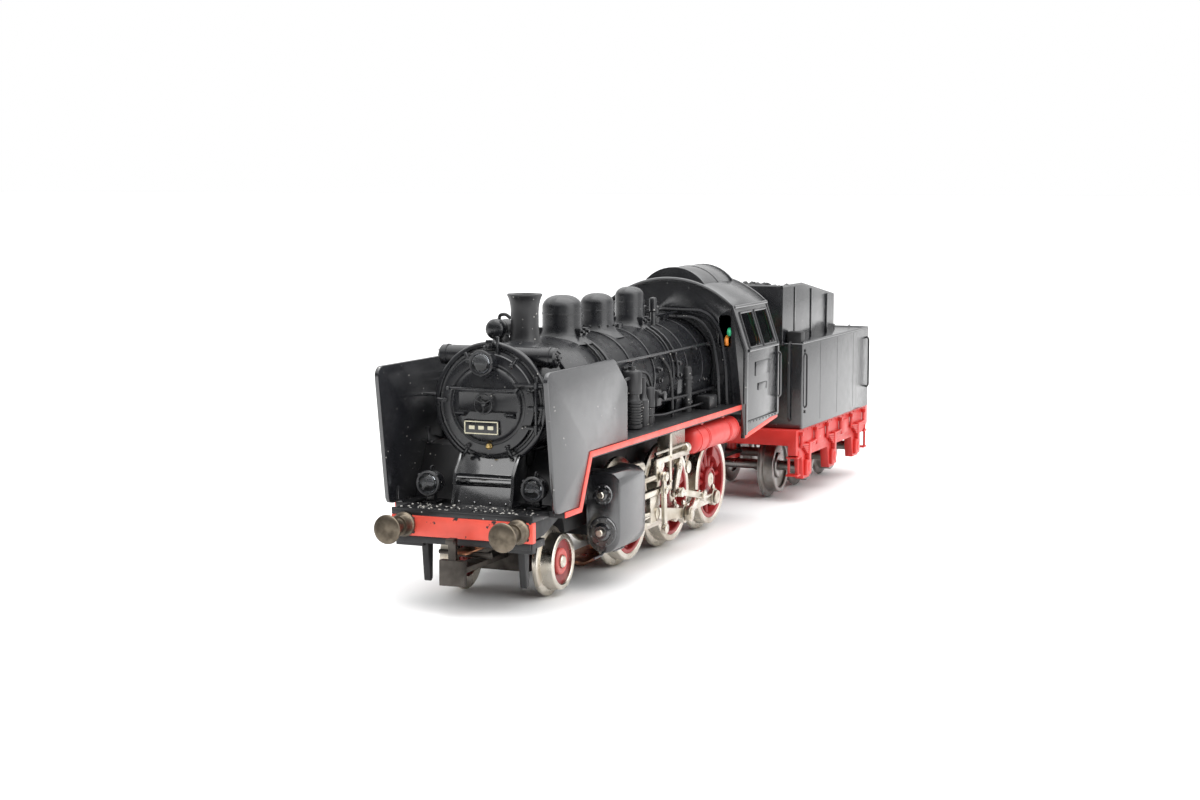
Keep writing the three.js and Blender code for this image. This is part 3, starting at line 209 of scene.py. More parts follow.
def pipe(points, radius, bend=0.8, roundness=2):
    # a bar or pipe along the points, its corners rounded
    piece = traceLine(points)
    if len(points) > 2 and bend:
        bpy.ops.mesh.select_all(action="SELECT")
        bpy.ops.mesh.bevel(offset=bend * mm, segments=4, affect="VERTICES", clamp_overlap=True)
    closeEdit()
    makeActive(piece)
    bpy.ops.object.convert(target="CURVE")
    piece = bpy.context.object
    piece.data.bevel_depth = radius * mm
    piece.data.bevel_resolution = roundness
    piece.data.use_fill_caps = True
    bpy.ops.object.convert(target="MESH")
    return faceOutwards(bpy.context.object)


def cutAway(piece, *tools):
    for tool in tools:
        useModifier(piece, "BOOLEAN", operation="DIFFERENCE", object=tool, solver="EXACT")
        bpy.data.objects.remove(tool)
    return piece


def together(*pieces):
    selectNothing()
    for piece in pieces:
        piece.select_set(True)
    bpy.context.view_layer.objects.active = pieces[0]
    bpy.ops.object.join()
    return bpy.context.object


def complete(piece, name, body, finish, replaces=(), angle=38):
    piece.name = name
    piece.data.name = name
    makeActive(piece)
    bpy.ops.object.shade_smooth_by_angle(angle=math.radians(angle))
    piece.data.materials.clear()
    piece.data.materials.append(finish)
    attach(piece, body)
    if replaces:
        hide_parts(*replaces)
    return piece


def refined(node, name, finish, bevel=0.08, flatten=2.0):
    # a finer stand-in of a CAD node: merged, its flat faces whole again, its edges softened
    source = frame["nodes"][node]
    makeActive(source)
    bpy.ops.object.duplicate(linked=False)
    piece = bpy.context.object
    body = piece["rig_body"]
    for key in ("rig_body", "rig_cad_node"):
        del piece[key]
    piece.parent = None
    openEdit(piece)
    bpy.ops.mesh.select_all(action="SELECT")
    bpy.ops.mesh.remove_doubles(threshold=0.002 * mm)
    bpy.ops.mesh.dissolve_limited(angle_limit=math.radians(flatten))
    closeEdit()
    softenEdges(piece, bevel, angle=30)
    return complete(piece, name, body, finish, replaces=(node,))


# finishes


def newFinish(name, colour, roughness, metallic=0.0):
    finish = bpy.data.materials.new(name)
    finish.use_nodes = True
    nodes, links = finish.node_tree.nodes, finish.node_tree.links
    shader = nodes["Principled BSDF"]
    shader.inputs["Base Color"].default_value = (*colour, 1)
    shader.inputs["Roughness"].default_value = roughness
    shader.inputs["Metallic"].default_value = metallic
    place = nodes.new("ShaderNodeTexCoord")
    return finish, nodes, links, shader, place


def grainOf(nodes, links, place, scale, detail=4.0):
    grain = nodes.new("ShaderNodeTexNoise")
    grain.inputs["Scale"].default_value = scale
    grain.inputs["Detail"].default_value = detail
    links.new(place.outputs["Object"], grain.inputs["Vector"])
    return grain


def spread(nodes, links, source, fromLow, fromHigh, toLow, toHigh):
    ranged = nodes.new("ShaderNodeMapRange")
    for key, value in zip(("From Min", "From Max", "To Min", "To Max"), (fromLow, fromHigh, toLow, toHigh)):
        ranged.inputs[key].default_value = value
    links.new(source, ranged.inputs["Value"])
    return ranged.outputs["Result"]


def blendColours(nodes, links, share, first, second):
    mixed = nodes.new("ShaderNodeMix")
    mixed.data_type = "RGBA"
    links.new(share, mixed.inputs["Factor"])
    for key, colour in (("A", first), ("B", second)):
        socket = [s for s in mixed.inputs if s.name == key and s.type == "RGBA"][0]
        if isinstance(colour, tuple):
            socket.default_value = (*colour, 1)
        else:
            links.new(colour, socket)
    return [s for s in mixed.outputs if s.type == "RGBA"][0]


def product(nodes, links, first, second):
    maths = nodes.new("ShaderNodeMath")
    maths.operation = "MULTIPLY"
    links.new(first, maths.inputs[0])
    links.new(second, maths.inputs[1])
    return maths.outputs["Value"]


def raiseSurface(nodes, links, shader, height, strength, distance):
    bump = nodes.new("ShaderNodeBump")
    bump.inputs["Strength"].default_value = strength
    bump.inputs["Distance"].default_value = distance * mm
    links.new(height, bump.inputs["Height"])
    links.new(bump.outputs["Normal"], shader.inputs["Normal"])


def paintedFinish(name, colour, roughness, cloud=0.25, dust=0.12, dustColour=(0.55, 0.53, 0.49), gloss=1.5):
    # moulded and painted surface: soft cloudy tone, fine orange peel, settled dust specks
    finish, nodes, links, shader, place = newFinish(name, colour, roughness)
    tone = grainOf(nodes, links, place, 160, 3)
    darker = tuple(c * (1 - cloud) for c in colour)
    lighter = tuple(min(1.0, c * (1 + cloud) + 0.004) for c in colour)
    toneShare = spread(nodes, links, tone.outputs["Fac"], 0.3, 0.7, 0, 1)
    clouded = blendColours(nodes, links, toneShare, darker, lighter)
    specks = nodes.new("ShaderNodeTexVoronoi")
    specks.inputs["Scale"].default_value = 900
    links.new(place.outputs["Object"], specks.inputs["Vector"])
    speckShare = spread(nodes, links, specks.outputs["Distance"], 0.13, 0.09, 0, 1)
    patches = grainOf(nodes, links, place, 330, 2)
    patchShare = spread(nodes, links, patches.outputs["Fac"], 0.62 - dust * 0.6, 0.7 - dust * 0.6, 0, 0.8)
    dustShare = product(nodes, links, speckShare, patchShare)
    dusted = blendColours(nodes, links, dustShare, clouded, dustColour)
    links.new(dusted, shader.inputs["Base Color"])
    wear = grainOf(nodes, links, place, 420, 5)
    links.new(spread(nodes, links, wear.outputs["Fac"], 0.3, 0.75, roughness * 0.85, roughness * 1.3),
              shader.inputs["Roughness"])
    shader.inputs["IOR"].default_value = gloss
    peel = grainOf(nodes, links, place, 2600, 2)
    raiseSurface(nodes, links, shader, peel.outputs["Fac"], 0.25, 0.02)
    return finish


def metalFinish(name, colour, stain, roughness, mottle=240, metallic=1.0):
    # plated or bare metal: tarnish in soft patches and fine drawn lines
    finish, nodes, links, shader, place = newFinish(name, colour, roughness, metallic)
    patches = grainOf(nodes, links, place, mottle, 5)
    share = spread(nodes, links, patches.outputs["Fac"], 0.38, 0.68, 0, 1)
    links.new(blendColours(nodes, links, share, colour, stain), shader.inputs["Base Color"])
    fine = grainOf(nodes, links, place, 3200, 3)
    links.new(spread(nodes, links, patches.outputs["Fac"], 0.3, 0.7, roughness * 0.8, roughness * 1.5),
              shader.inputs["Roughness"])
    raiseSurface(nodes, links, shader, fine.outputs["Fac"], 0.3, 0.015)
    return finish


def chippedRed(name, colour, under):
    # beam paint with bare chips where it has been knocked
    finish, nodes, links, shader, place = newFinish(name, colour, 0.34)
    chips = grainOf(nodes, links, place, 520, 6)
    chipShare = spread(nodes, links, chips.outputs["Fac"], 0.645, 0.66, 0, 1)
    tone = grainOf(nodes, links, place, 210, 3)
    faded = blendColours(nodes, links, spread(nodes, links, tone.outputs["Fac"], 0.3, 0.7, 0, 1),
                         tuple(c * 0.86 for c in colour), tuple(min(1, c * 1.08) for c in colour))
    links.new(blendColours(nodes, links, chipShare, faded, under), shader.inputs["Base Color"])
    links.new(spread(nodes, links, chips.outputs["Fac"], 0.3, 0.8, 0.3, 0.55), shader.inputs["Roughness"])
    raiseSurface(nodes, links, shader, chips.outputs["Fac"], 0.3, 0.05)
    return finish


def clearFinish(name, colour, roughness, haze):
    finish, nodes, links, shader, place = newFinish(name, colour, roughness)
    shader.inputs["Transmission Weight"].default_value = 1.0
    shader.inputs["IOR"].default_value = 1.46
    film = grainOf(nodes, links, place, 700, 4)
    links.new(spread(nodes, links, film.outputs["Fac"], 0.35, 0.7, roughness, haze),
              shader.inputs["Roughness"])
    return finish


def coalFinish():
    finish, nodes, links, shader, place = newFinish("coal", (0.012, 0.012, 0.013), 0.5)
    lumps = nodes.new("ShaderNodeTexVoronoi")
    lumps.inputs["Scale"].default_value = 900
    links.new(place.outputs["Object"], lumps.inputs["Vector"])
    links.new(blendColours(nodes, links, lumps.outputs["Distance"], (0.03, 0.03, 0.032),
                           (0.006, 0.006, 0.006)),
              shader.inputs["Base Color"])
    raiseSurface(nodes, links, shader, lumps.outputs["Distance"], 0.7, 0.25)
    return finish


blackPaint = paintedFinish("black_paint", (0.008, 0.0085, 0.0105), 0.27, dust=0.10, gloss=1.62)
dustyPaint = paintedFinish("dusty_black_paint", (0.009, 0.009, 0.0105), 0.38, dust=0.36, gloss=1.55)
boardPaint = paintedFinish("deflector_paint", (0.012, 0.0125, 0.015), 0.2, cloud=0.05, dust=0.12, gloss=1.95)
cabPaint = paintedFinish("cab_paint", (0.009, 0.0095, 0.0115), 0.2, cloud=0.08, dust=0.02, gloss=2.1)
stepPaint = paintedFinish("step_paint", (0.009, 0.0095, 0.0115), 0.14, cloud=0.1, dust=0.06, gloss=2.7)
frameBlack = paintedFinish("frame_black", (0.012, 0.012, 0.013), 0.45, dust=0.05)
redPaint = paintedFinish("red_paint", (0.56, 0.028, 0.022), 0.36, cloud=0.12, dust=0.0)
lineRed = paintedFinish("line_red", (0.80, 0.085, 0.060), 0.38, cloud=0.1, dust=0.0)
wheelRed = paintedFinish("wheel_red", (0.30, 0.014, 0.014), 0.36, cloud=0.2, dust=0.0)
# pony hub rings: a lighter, paler copy of the wheel red, a painted highlight where light catches the raised
# rings
hubRedPaintedHighlight = paintedFinish("hub_red_painted_highlight", (0.50, 0.075, 0.065), 0.34, cloud=0.12, dust=0.0)
# pony wheel discs: a darker copy of the wheel red, painted shade
ponyRedPaintedShade = paintedFinish("pony_red_painted_shade", (0.19, 0.01, 0.012), 0.34, cloud=0.15, dust=0.0)
beamRed = chippedRed("beam_red", (0.86, 0.105, 0.07), (0.03, 0.025, 0.024))
nickel = metalFinish("nickel", (0.66, 0.62, 0.55), (0.46, 0.41, 0.33), 0.24)
darkMetal = metalFinish("dark_metal", (0.10, 0.09, 0.08), (0.045, 0.04, 0.036), 0.42)
bronze = metalFinish("buffer_bronze", (0.20, 0.168, 0.128), (0.085, 0.07, 0.053), 0.36, 420)
brass = metalFinish("brass", (0.80, 0.60, 0.26), (0.55, 0.37, 0.14), 0.26)
copper = metalFinish("copper", (0.62, 0.30, 0.17), (0.33, 0.15, 0.09), 0.3)
steel = metalFinish("steel", (0.32, 0.31, 0.30), (0.19, 0.17, 0.15), 0.33)
lampGlass = clearFinish("lamp_glass", (0.55, 0.58, 0.62), 0.01, 0.04)
bulbGlass = clearFinish("bulb_glass", (0.97, 0.96, 0.92), 0.02, 0.08)
windowPlastic = clearFinish("clear_plastic", (0.82, 0.84, 0.86), 0.05, 0.2)
greyPlastic = paintedFinish("grey_plastic", (0.16, 0.16, 0.155), 0.5, dust=0.0)
paleGrit = paintedFinish("pale_grit", (0.62, 0.60, 0.56), 0.6, cloud=0.2, dust=0.0)
creamPaint = paintedFinish("cream_paint", (0.78, 0.74, 0.55), 0.45, cloud=0.08, dust=0.0)
orangeLead = paintedFinish("orange_lead", (0.75, 0.24, 0.03), 0.4, cloud=0.1, dust=0.0)
greenLead = paintedFinish("green_lead", (0.03, 0.42, 0.19), 0.4, cloud=0.1, dust=0.0)
coal = coalFinish()
print("finishes mixed")

# camera, light and floor

view = {"eye": (387.68, 147.36, 69.31), "yaw": 22.7, "pitch": 6.14, "lens": 63.0}


def setCamera():
    yaw, pitch = math.radians(view["yaw"]), math.radians(view["pitch"])
    look = Vector((-math.cos(pitch) * math.cos(yaw), -math.cos(pitch) * math.sin(yaw), -math.sin(pitch)))
    selectNothing()
    bpy.ops.object.camera_add(location=Vector(view["eye"]) * mm)
    camera = bpy.context.object
    turn = look.to_track_quat("-Z", "Y")
    camera.rotation_euler = turn.to_euler()
    camera.data.lens = view["lens"]
    camera.data.sensor_width = 36
    camera.data.clip_start = 0.01
    bpy.context.scene.camera = camera


studio = {"tent": 2.2, "top": 3.5, "left": 1.6, "floorTone": 0.9, "dimSide": (1.0, -0.2, 0.0),
          "dimming": (0.0, 0.85, 1.0, 0.1)}


def setStudio():
    world = bpy.data.worlds.new("studio_sky")
    world.use_nodes = True
    sky = world.node_tree.nodes["Background"]
    sky.inputs["Color"].default_value = (1.0, 1.0, 1.0, 1)
    # brighter behind and above, dimmer on the side of the lens, as in a light tent
    spot = world.node_tree.nodes.new("ShaderNodeTexCoord")
    facing = world.node_tree.nodes.new("ShaderNodeVectorMath")
    facing.operation = "DOT_PRODUCT"
    facing.inputs[1].default_value = Vector(studio["dimSide"]).normalized()
    share = world.node_tree.nodes.new("ShaderNodeMapRange")
    share.interpolation_type = "SMOOTHSTEP"
    for key, value in zip(("From Min", "From Max", "To Min", "To Max"), studio["dimming"]):
        share.inputs[key].default_value = value
    world.node_tree.links.new(spot.outputs["Generated"], facing.inputs[0])
    world.node_tree.links.new(facing.outputs["Value"], share.inputs["Value"])
    # what stands behind the object is plain white from every side
    ray = world.node_tree.nodes.new("ShaderNodeLightPath")
    brighter = world.node_tree.nodes.new("ShaderNodeMath")
    brighter.operation = "MAXIMUM"
    world.node_tree.links.new(share.outputs["Result"], brighter.inputs[0])
    world.node_tree.links.new(ray.outputs["Is Camera Ray"], brighter.inputs[1])
    world.node_tree.links.new(brighter.outputs["Value"], sky.inputs["Strength"])
    bpy.context.scene.world = world
    selectNothing()
    bpy.ops.mesh.primitive_plane_add(size=12, location=(0, 0, -0.02 * mm))
    floor = settlePlace(bpy.context.object)
    floor.name = "studio_floor"
    surface, nodes, links, shader, place = newFinish("studio_floor", (studio["floorTone"],) * 3, 0.6)
    shade = grainOf(nodes, links, place, 3, 2)
    tone = studio["floorTone"]
    links.new(blendColours(nodes, links, shade.outputs["Fac"], (tone,) * 3, (tone * 0.985,) * 3),
              shader.inputs["Base Color"])
    floor.data.materials.append(surface)
    bpy.ops.object.light_add(type="SUN", location=(0, 0, 1))
    dome = bpy.context.object
    dome.name = "tent_light"
    dome.data.energy = studio["tent"]
    dome.data.angle = math.radians(120)
    for name, place, size, power in (("top_light", (0.0, 0.1, 0.7), 0.8, studio["top"]),
                                     ("side_light", (0.25, 0.75, 0.35), 0.6, studio["left"])):
        selectNothing()
        bpy.ops.object.light_add(type="AREA", location=place)
        lamp = bpy.context.object
        lamp.name = name
        lamp.data.size = size
        lamp.data.energy = power
        lamp.rotation_euler = (Vector((0, 0, 0.03)) - Vector(place)).to_track_quat("-Z", "Y").to_euler()


bpy.context.scene.view_settings.view_transform = "Standard"
setCamera()
setStudio()
print("camera and studio set")

# every CAD node gets its finish first; the pieces below then stand in for what shows

nodeFinishes = {
    "driver_axle": nickel, "driver_wheel": wheelRed, "pony_wheelset": wheelRed, "tender_wheelset": steel,
    "coupling_rod": nickel, "connecting_rod": nickel, "return_crank": nickel, "eccentric_rod": nickel,
    "expansion_link": nickel, "combination_lever": nickel, "crosshead": nickel, "motion_bracket": nickel,
    "cylinder": cabPaint, "deflector": boardPaint, "air_reservoir": redPaint, "buffer_front": bronze,
    "buffer_rear": bronze, "lamp_lens": lampGlass, "loco_frame": frameBlack, "pony_pivot_screw": steel,
    "pony_truck": frameBlack, "buffer_beam": beamRed, "body_casting": blackPaint,
                "smokebox_front": blackPaint,
    "headlamp_bulb": bulbGlass, "motor_field": steel, "motor_armature": copper, "brush_plate": greyPlastic,
    "idler_gear": brass, "motor_lead_orange": orangeLead, "motor_lead_green": greenLead,
    "pickup_shoe": copper, "drawbar": darkMetal, "tender_frame": redPaint, "tender_body": cabPaint,
    "rear_coupler": darkMetal,
}


def giveFinishes():
    for name, node in frame["nodes"].items():
        key = max((k for k in nodeFinishes if name.startswith(k)), key=len)
        node.data.materials.clear()
        node.data.materials.append(nodeFinishes[key])


giveFinishes()
print("CAD nodes finished")

# boiler, smokebox and what stands on them

boiler = {"radius": 9.0, "smokebox": 9.5, "axisZ": 32.2, "front": 5.0, "joint": -15.5, "rear": -75.2,
          "wall": 1.4, "bands": (-25.5, -34.5, -44.5, -53.0, -61.5, -70.0), "bandWidth": 0.55,
          "bandRise": 0.16}


def boilerPoint(x, degrees, radius):
    # a point round the boiler, 0 degrees to the left and 90 on top
    turn = math.radians(degrees)
    return at(x, radius * math.cos(turn), boiler["axisZ"] + radius * math.sin(turn))


def makeBoiler():
    b = boiler
    base = at(0, 0, b["axisZ"])
    outer = [(b["radius"], b["rear"]), (b["radius"], b["joint"] - 0.3),
             (b["radius"] + 0.2, b["joint"] - 0.2),
             (b["smokebox"], b["joint"]), (b["smokebox"], b["front"] - 0.25),
             (b["smokebox"] - 0.25, b["front"])]
    shell = turned(outer, base, sides=96)
    bore = turned([(b["radius"] - b["wall"], b["rear"] + 1.2), (b["radius"] - b["wall"], b["front"] + 1)],
                  base,
                  sides=64)
    motorBay = block((b["rear"] - 1, -6.7, 20), (-57, 6.7, 30), 0)
    leadSlot = block((b["rear"] - 2, -5.6, 28), (b["rear"] + 3, 5.6, 36), 0)
    lampBay = block((-17, -3.2, 18), (-10.5, 3.2, 28), 0)
    cutAway(shell, bore, motorBay, leadSlot, lampBay)
    softenEdges(shell, 0.05)
    bands = []
    for x in b["bands"]:
        half, top = b["bandWidth"] / 2, b["radius"] + b["bandRise"]
        section = [(b["radius"] - 0.1, x - half), (top - 0.04, x - half), (top, x - half + 0.08),
                   (top, x + half - 0.08), (top - 0.04, x + half), (b["radius"] - 0.1, x + half)]
        bands.append(spunRing(section, base, along, 96))
    complete(together(shell, *bands), "boiler_shell", "root", blackPaint, ("body_casting",))
    firebox = []
    for side in (1, -1):
        flank = crossPlate([(side * 6.75, 24.3), (side * 8.3, 24.3), (side * 8.75, 27.5), (side * 8.9, 31.5),
                            (side * 6.75, 31.5)], -75.1, -57, 0.2)
        firebox.append(flank)
        for x in (-72, -68, -64, -60):  # washout plugs
            for z in (27.0, 29.6):
                firebox.append(turned([(0.5, 0), (0.5, 0.45), (0.3, 0.5), (0.3, 0.85), (0.2, 0.95)],
                                      at(x, side * (8.35 if z > 28 else 8.1), z), across * side, 8))
    complete(together(*firebox), "firebox_flanks", "root", blackPaint)


def makeChimney():
    c = {"x": -7.4, "foot": 40.4, "top": 49.4}
    outline = [(3.6, 39.6), (3.1, c["foot"] + 0.5), (2.66, 41.6), (2.46, 42.6), (2.36, 44), (2.34, 46.4),
               (2.42, 47.4), (2.58, 48.2), (2.82, 48.85), (2.96, 49.1), (2.97, 49.3), (2.85, c["top"]),
               (1.95, c["top"] - 0.05), (1.8, 49.1), (1.75, 44.0), (0, 43.8)]
    funnel = turned(outline, at(c["x"], 0, 0), upward, 40)
    complete(funnel, "chimney", "root", dustyPaint)


def makeDomes():
    for number, (x, radius, top) in enumerate(((-23.0, 3.5, 48.4), (-38.8, 3.05, 47.9), (-54.5, 2.7, 48.3)),
                                              1):
        crown = top - radius * 0.62
        outline = [(radius + 1.9, 40.0), (radius + 1.2, 40.6), (radius + 0.55, 41.2), (radius + 0.15, 42.1),
                   (radius, 43.2), (radius, crown)]
        for angle in range(12, 90, 13):
            turn = math.radians(angle)
            outline.append((radius * math.cos(turn) ** 0.8, crown + (top - crown) * math.sin(turn)))
        outline.append((0, top))
        cover = turned(outline, at(x, 0, 0), upward, 40)
        extras = [cover]
        seam = turned([(radius + 0.1, crown - 1.2), (radius + 0.1, crown - 0.95)], at(x, 0, 0), upward, 40)
        extras.append(seam)
        if number != 2:  # sand dome: valve boxes and pipes down the boiler on both sides
            for side in (1, -1):
                for step in (-1.2, 1.2):
                    box = block((x + step - 0.55, side * (radius + 0.1) - 0.6, 41.4),
                                (x + step + 0.55, side * (radius + 0.1) + 0.6, 42.7), 0.15)
                    knob = turned([(0.3, 0), (0.3, 0.5), (0.18, 0.6)],
                                  at(x + step, side * (radius + 0.6), 42.1),
                                  across * side, 10)
                    run = [boilerPoint(x + step, 90 - side * turn, 9.35) for turn in (24, 34, 44, 54, 64,
                                                                                      74, 84, 94)]
                    extras += [box, knob, pipe(run, 0.24, 0)]
        else:
            for angle in range(0, 360, 30):  # cover bolts
                turn = math.radians(angle)
                extras.append(turned([(0.22, 0), (0.22, 0.2), (0.12, 0.28)],
                                     at(x + 3.35 * math.cos(turn), 3.35 * math.sin(turn), 42.0), upward, 6))
        complete(together(*extras), f"dome_{number}", "root", blackPaint)


def makeTopFittings():
    items = []
    # feed water heater across the smokebox
    heater = turned([(1.35, -10.5), (1.65, -10.2), (1.65, -9.5), (1.78, -9.45), (1.78, -9.1), (1.65, -9.05),
                     (1.65, 9.05), (1.78, 9.1), (1.78, 9.45), (1.65, 9.5), (1.65, 10.2), (1.35, 10.5)],
                    at(2.6, 0, 39.7), across, 32)
    items.append(heater)
    for side in (1, -1):
        for angle in range(0, 360, 45):
            turn = math.radians(angle)
            items.append(turned([(0.17, 0), (0.17, 0.22), (0.1, 0.3)],
                                at(2.6 + 1.05 * math.cos(turn), side * 10.45, 39.7 + 1.05 * math.sin(turn)),
                                across * side, 6))
        items.append(turned([(0.5, 0), (0.5, 0.3), (0.35, 0.4)], at(2.6, side * 10.4, 39.7), across * side,
                            10))
        items.append(pipe([at(1.8, side * 9.9, 39.2), at(0.2, side * 10.4, 38.0),
                           at(-1.5, side * 10.3, 35.5),
                           at(-2.5, side * 10.35, 32.0), at(-2.6, side * 10.4, 26.0)], 0.42, 1.2))
    complete(together(*items), "feed_heater", "root", blackPaint)
    generator = turned([(0.55, -10.9), (1.25, -10.8), (1.5, -10.3), (1.5, -7.6), (1.15, -7.5), (1.15, -7.2),
                        (1.62, -7.1), (1.75, -6.7), (1.75, -5.7), (1.6, -5.3), (1.2, -5.0), (0.6, -4.8),
                        (0, -4.75)],
                       at(0, -4.7, 43.4), along, 32)
    parts = [generator, block((-9.8, -5.5, 39.2), (-6.3, -3.9, 42.4), 0.2)]
    for angle in range(0, 360, 45):
        turn = math.radians(angle)
        parts.append(turned([(0.16, 0), (0.16, 0.3), (0.1, 0.36)],
                            at(-5.5, -4.7 + 1.4 * math.cos(turn), 43.4 + 1.4 * math.sin(turn)), along, 6))
    parts.append(pipe([at(-7.4, -4.7, 44.6), at(-7.4, -4.7, 45.7), at(-7.4, -3.6, 45.9),
                       at(-7.4, -2.6, 45.2)], 0.3, 0.4))
    parts.append(pipe([at(-8.5, -4.4, 42), at(-12.5, -4.6, 41.2), at(-18, -4.4, 40.9), at(-40, -4.4, 40.9)],
                      0.2, 0.8))
    complete(together(*parts), "lighting_generator", "root", blackPaint)
    # safety valves, whistle and small steam fittings behind the last dome
    small = []
    for y in (-1.3, 1.3):
        small.append(turned([(0.95, 40.6), (0.95, 41.9), (0.75, 42.1), (0.75, 43.6), (0.9, 43.7),
                             (0.9, 44.0),
                             (0.45, 44.2), (0.4, 45.2), (0, 45.3)], at(-64.5, y, 0), upward, 16))
    small.append(turned([(0.5, 40.4), (0.5, 43.2), (0.75, 43.4), (0.75, 45.6), (0.6, 45.9), (0, 46.1)],
                        at(-60.0, 2.6, 0), upward, 16))
    small.append(pipe([at(-60, 2.6, 42.4), at(-62, 2.2, 42.4), at(-75, 2.2, 42.4)], 0.2, 0.5))
    small.append(block((-71.5, -1.6, 40.4), (-68.6, 1.6, 42.4), 0.3))
    small.append(block((-31.9, -1.4, 40.5), (-29.9, 1.4, 42.3), 0.3))
    small.append(turned([(0.5, 42.2), (0.5, 43.2), (0.3, 43.5), (0.3, 44.0), (0.7, 44.1), (0.7, 44.4),
                         (0, 44.5)],
                        at(-30.9, 0, 0), upward, 14))
    small.append(block((-47.8, -1.5, 40.6), (-45.6, 1.5, 42.0), 0.3))
    complete(together(*small), "boiler_top_fittings", "root", blackPaint)


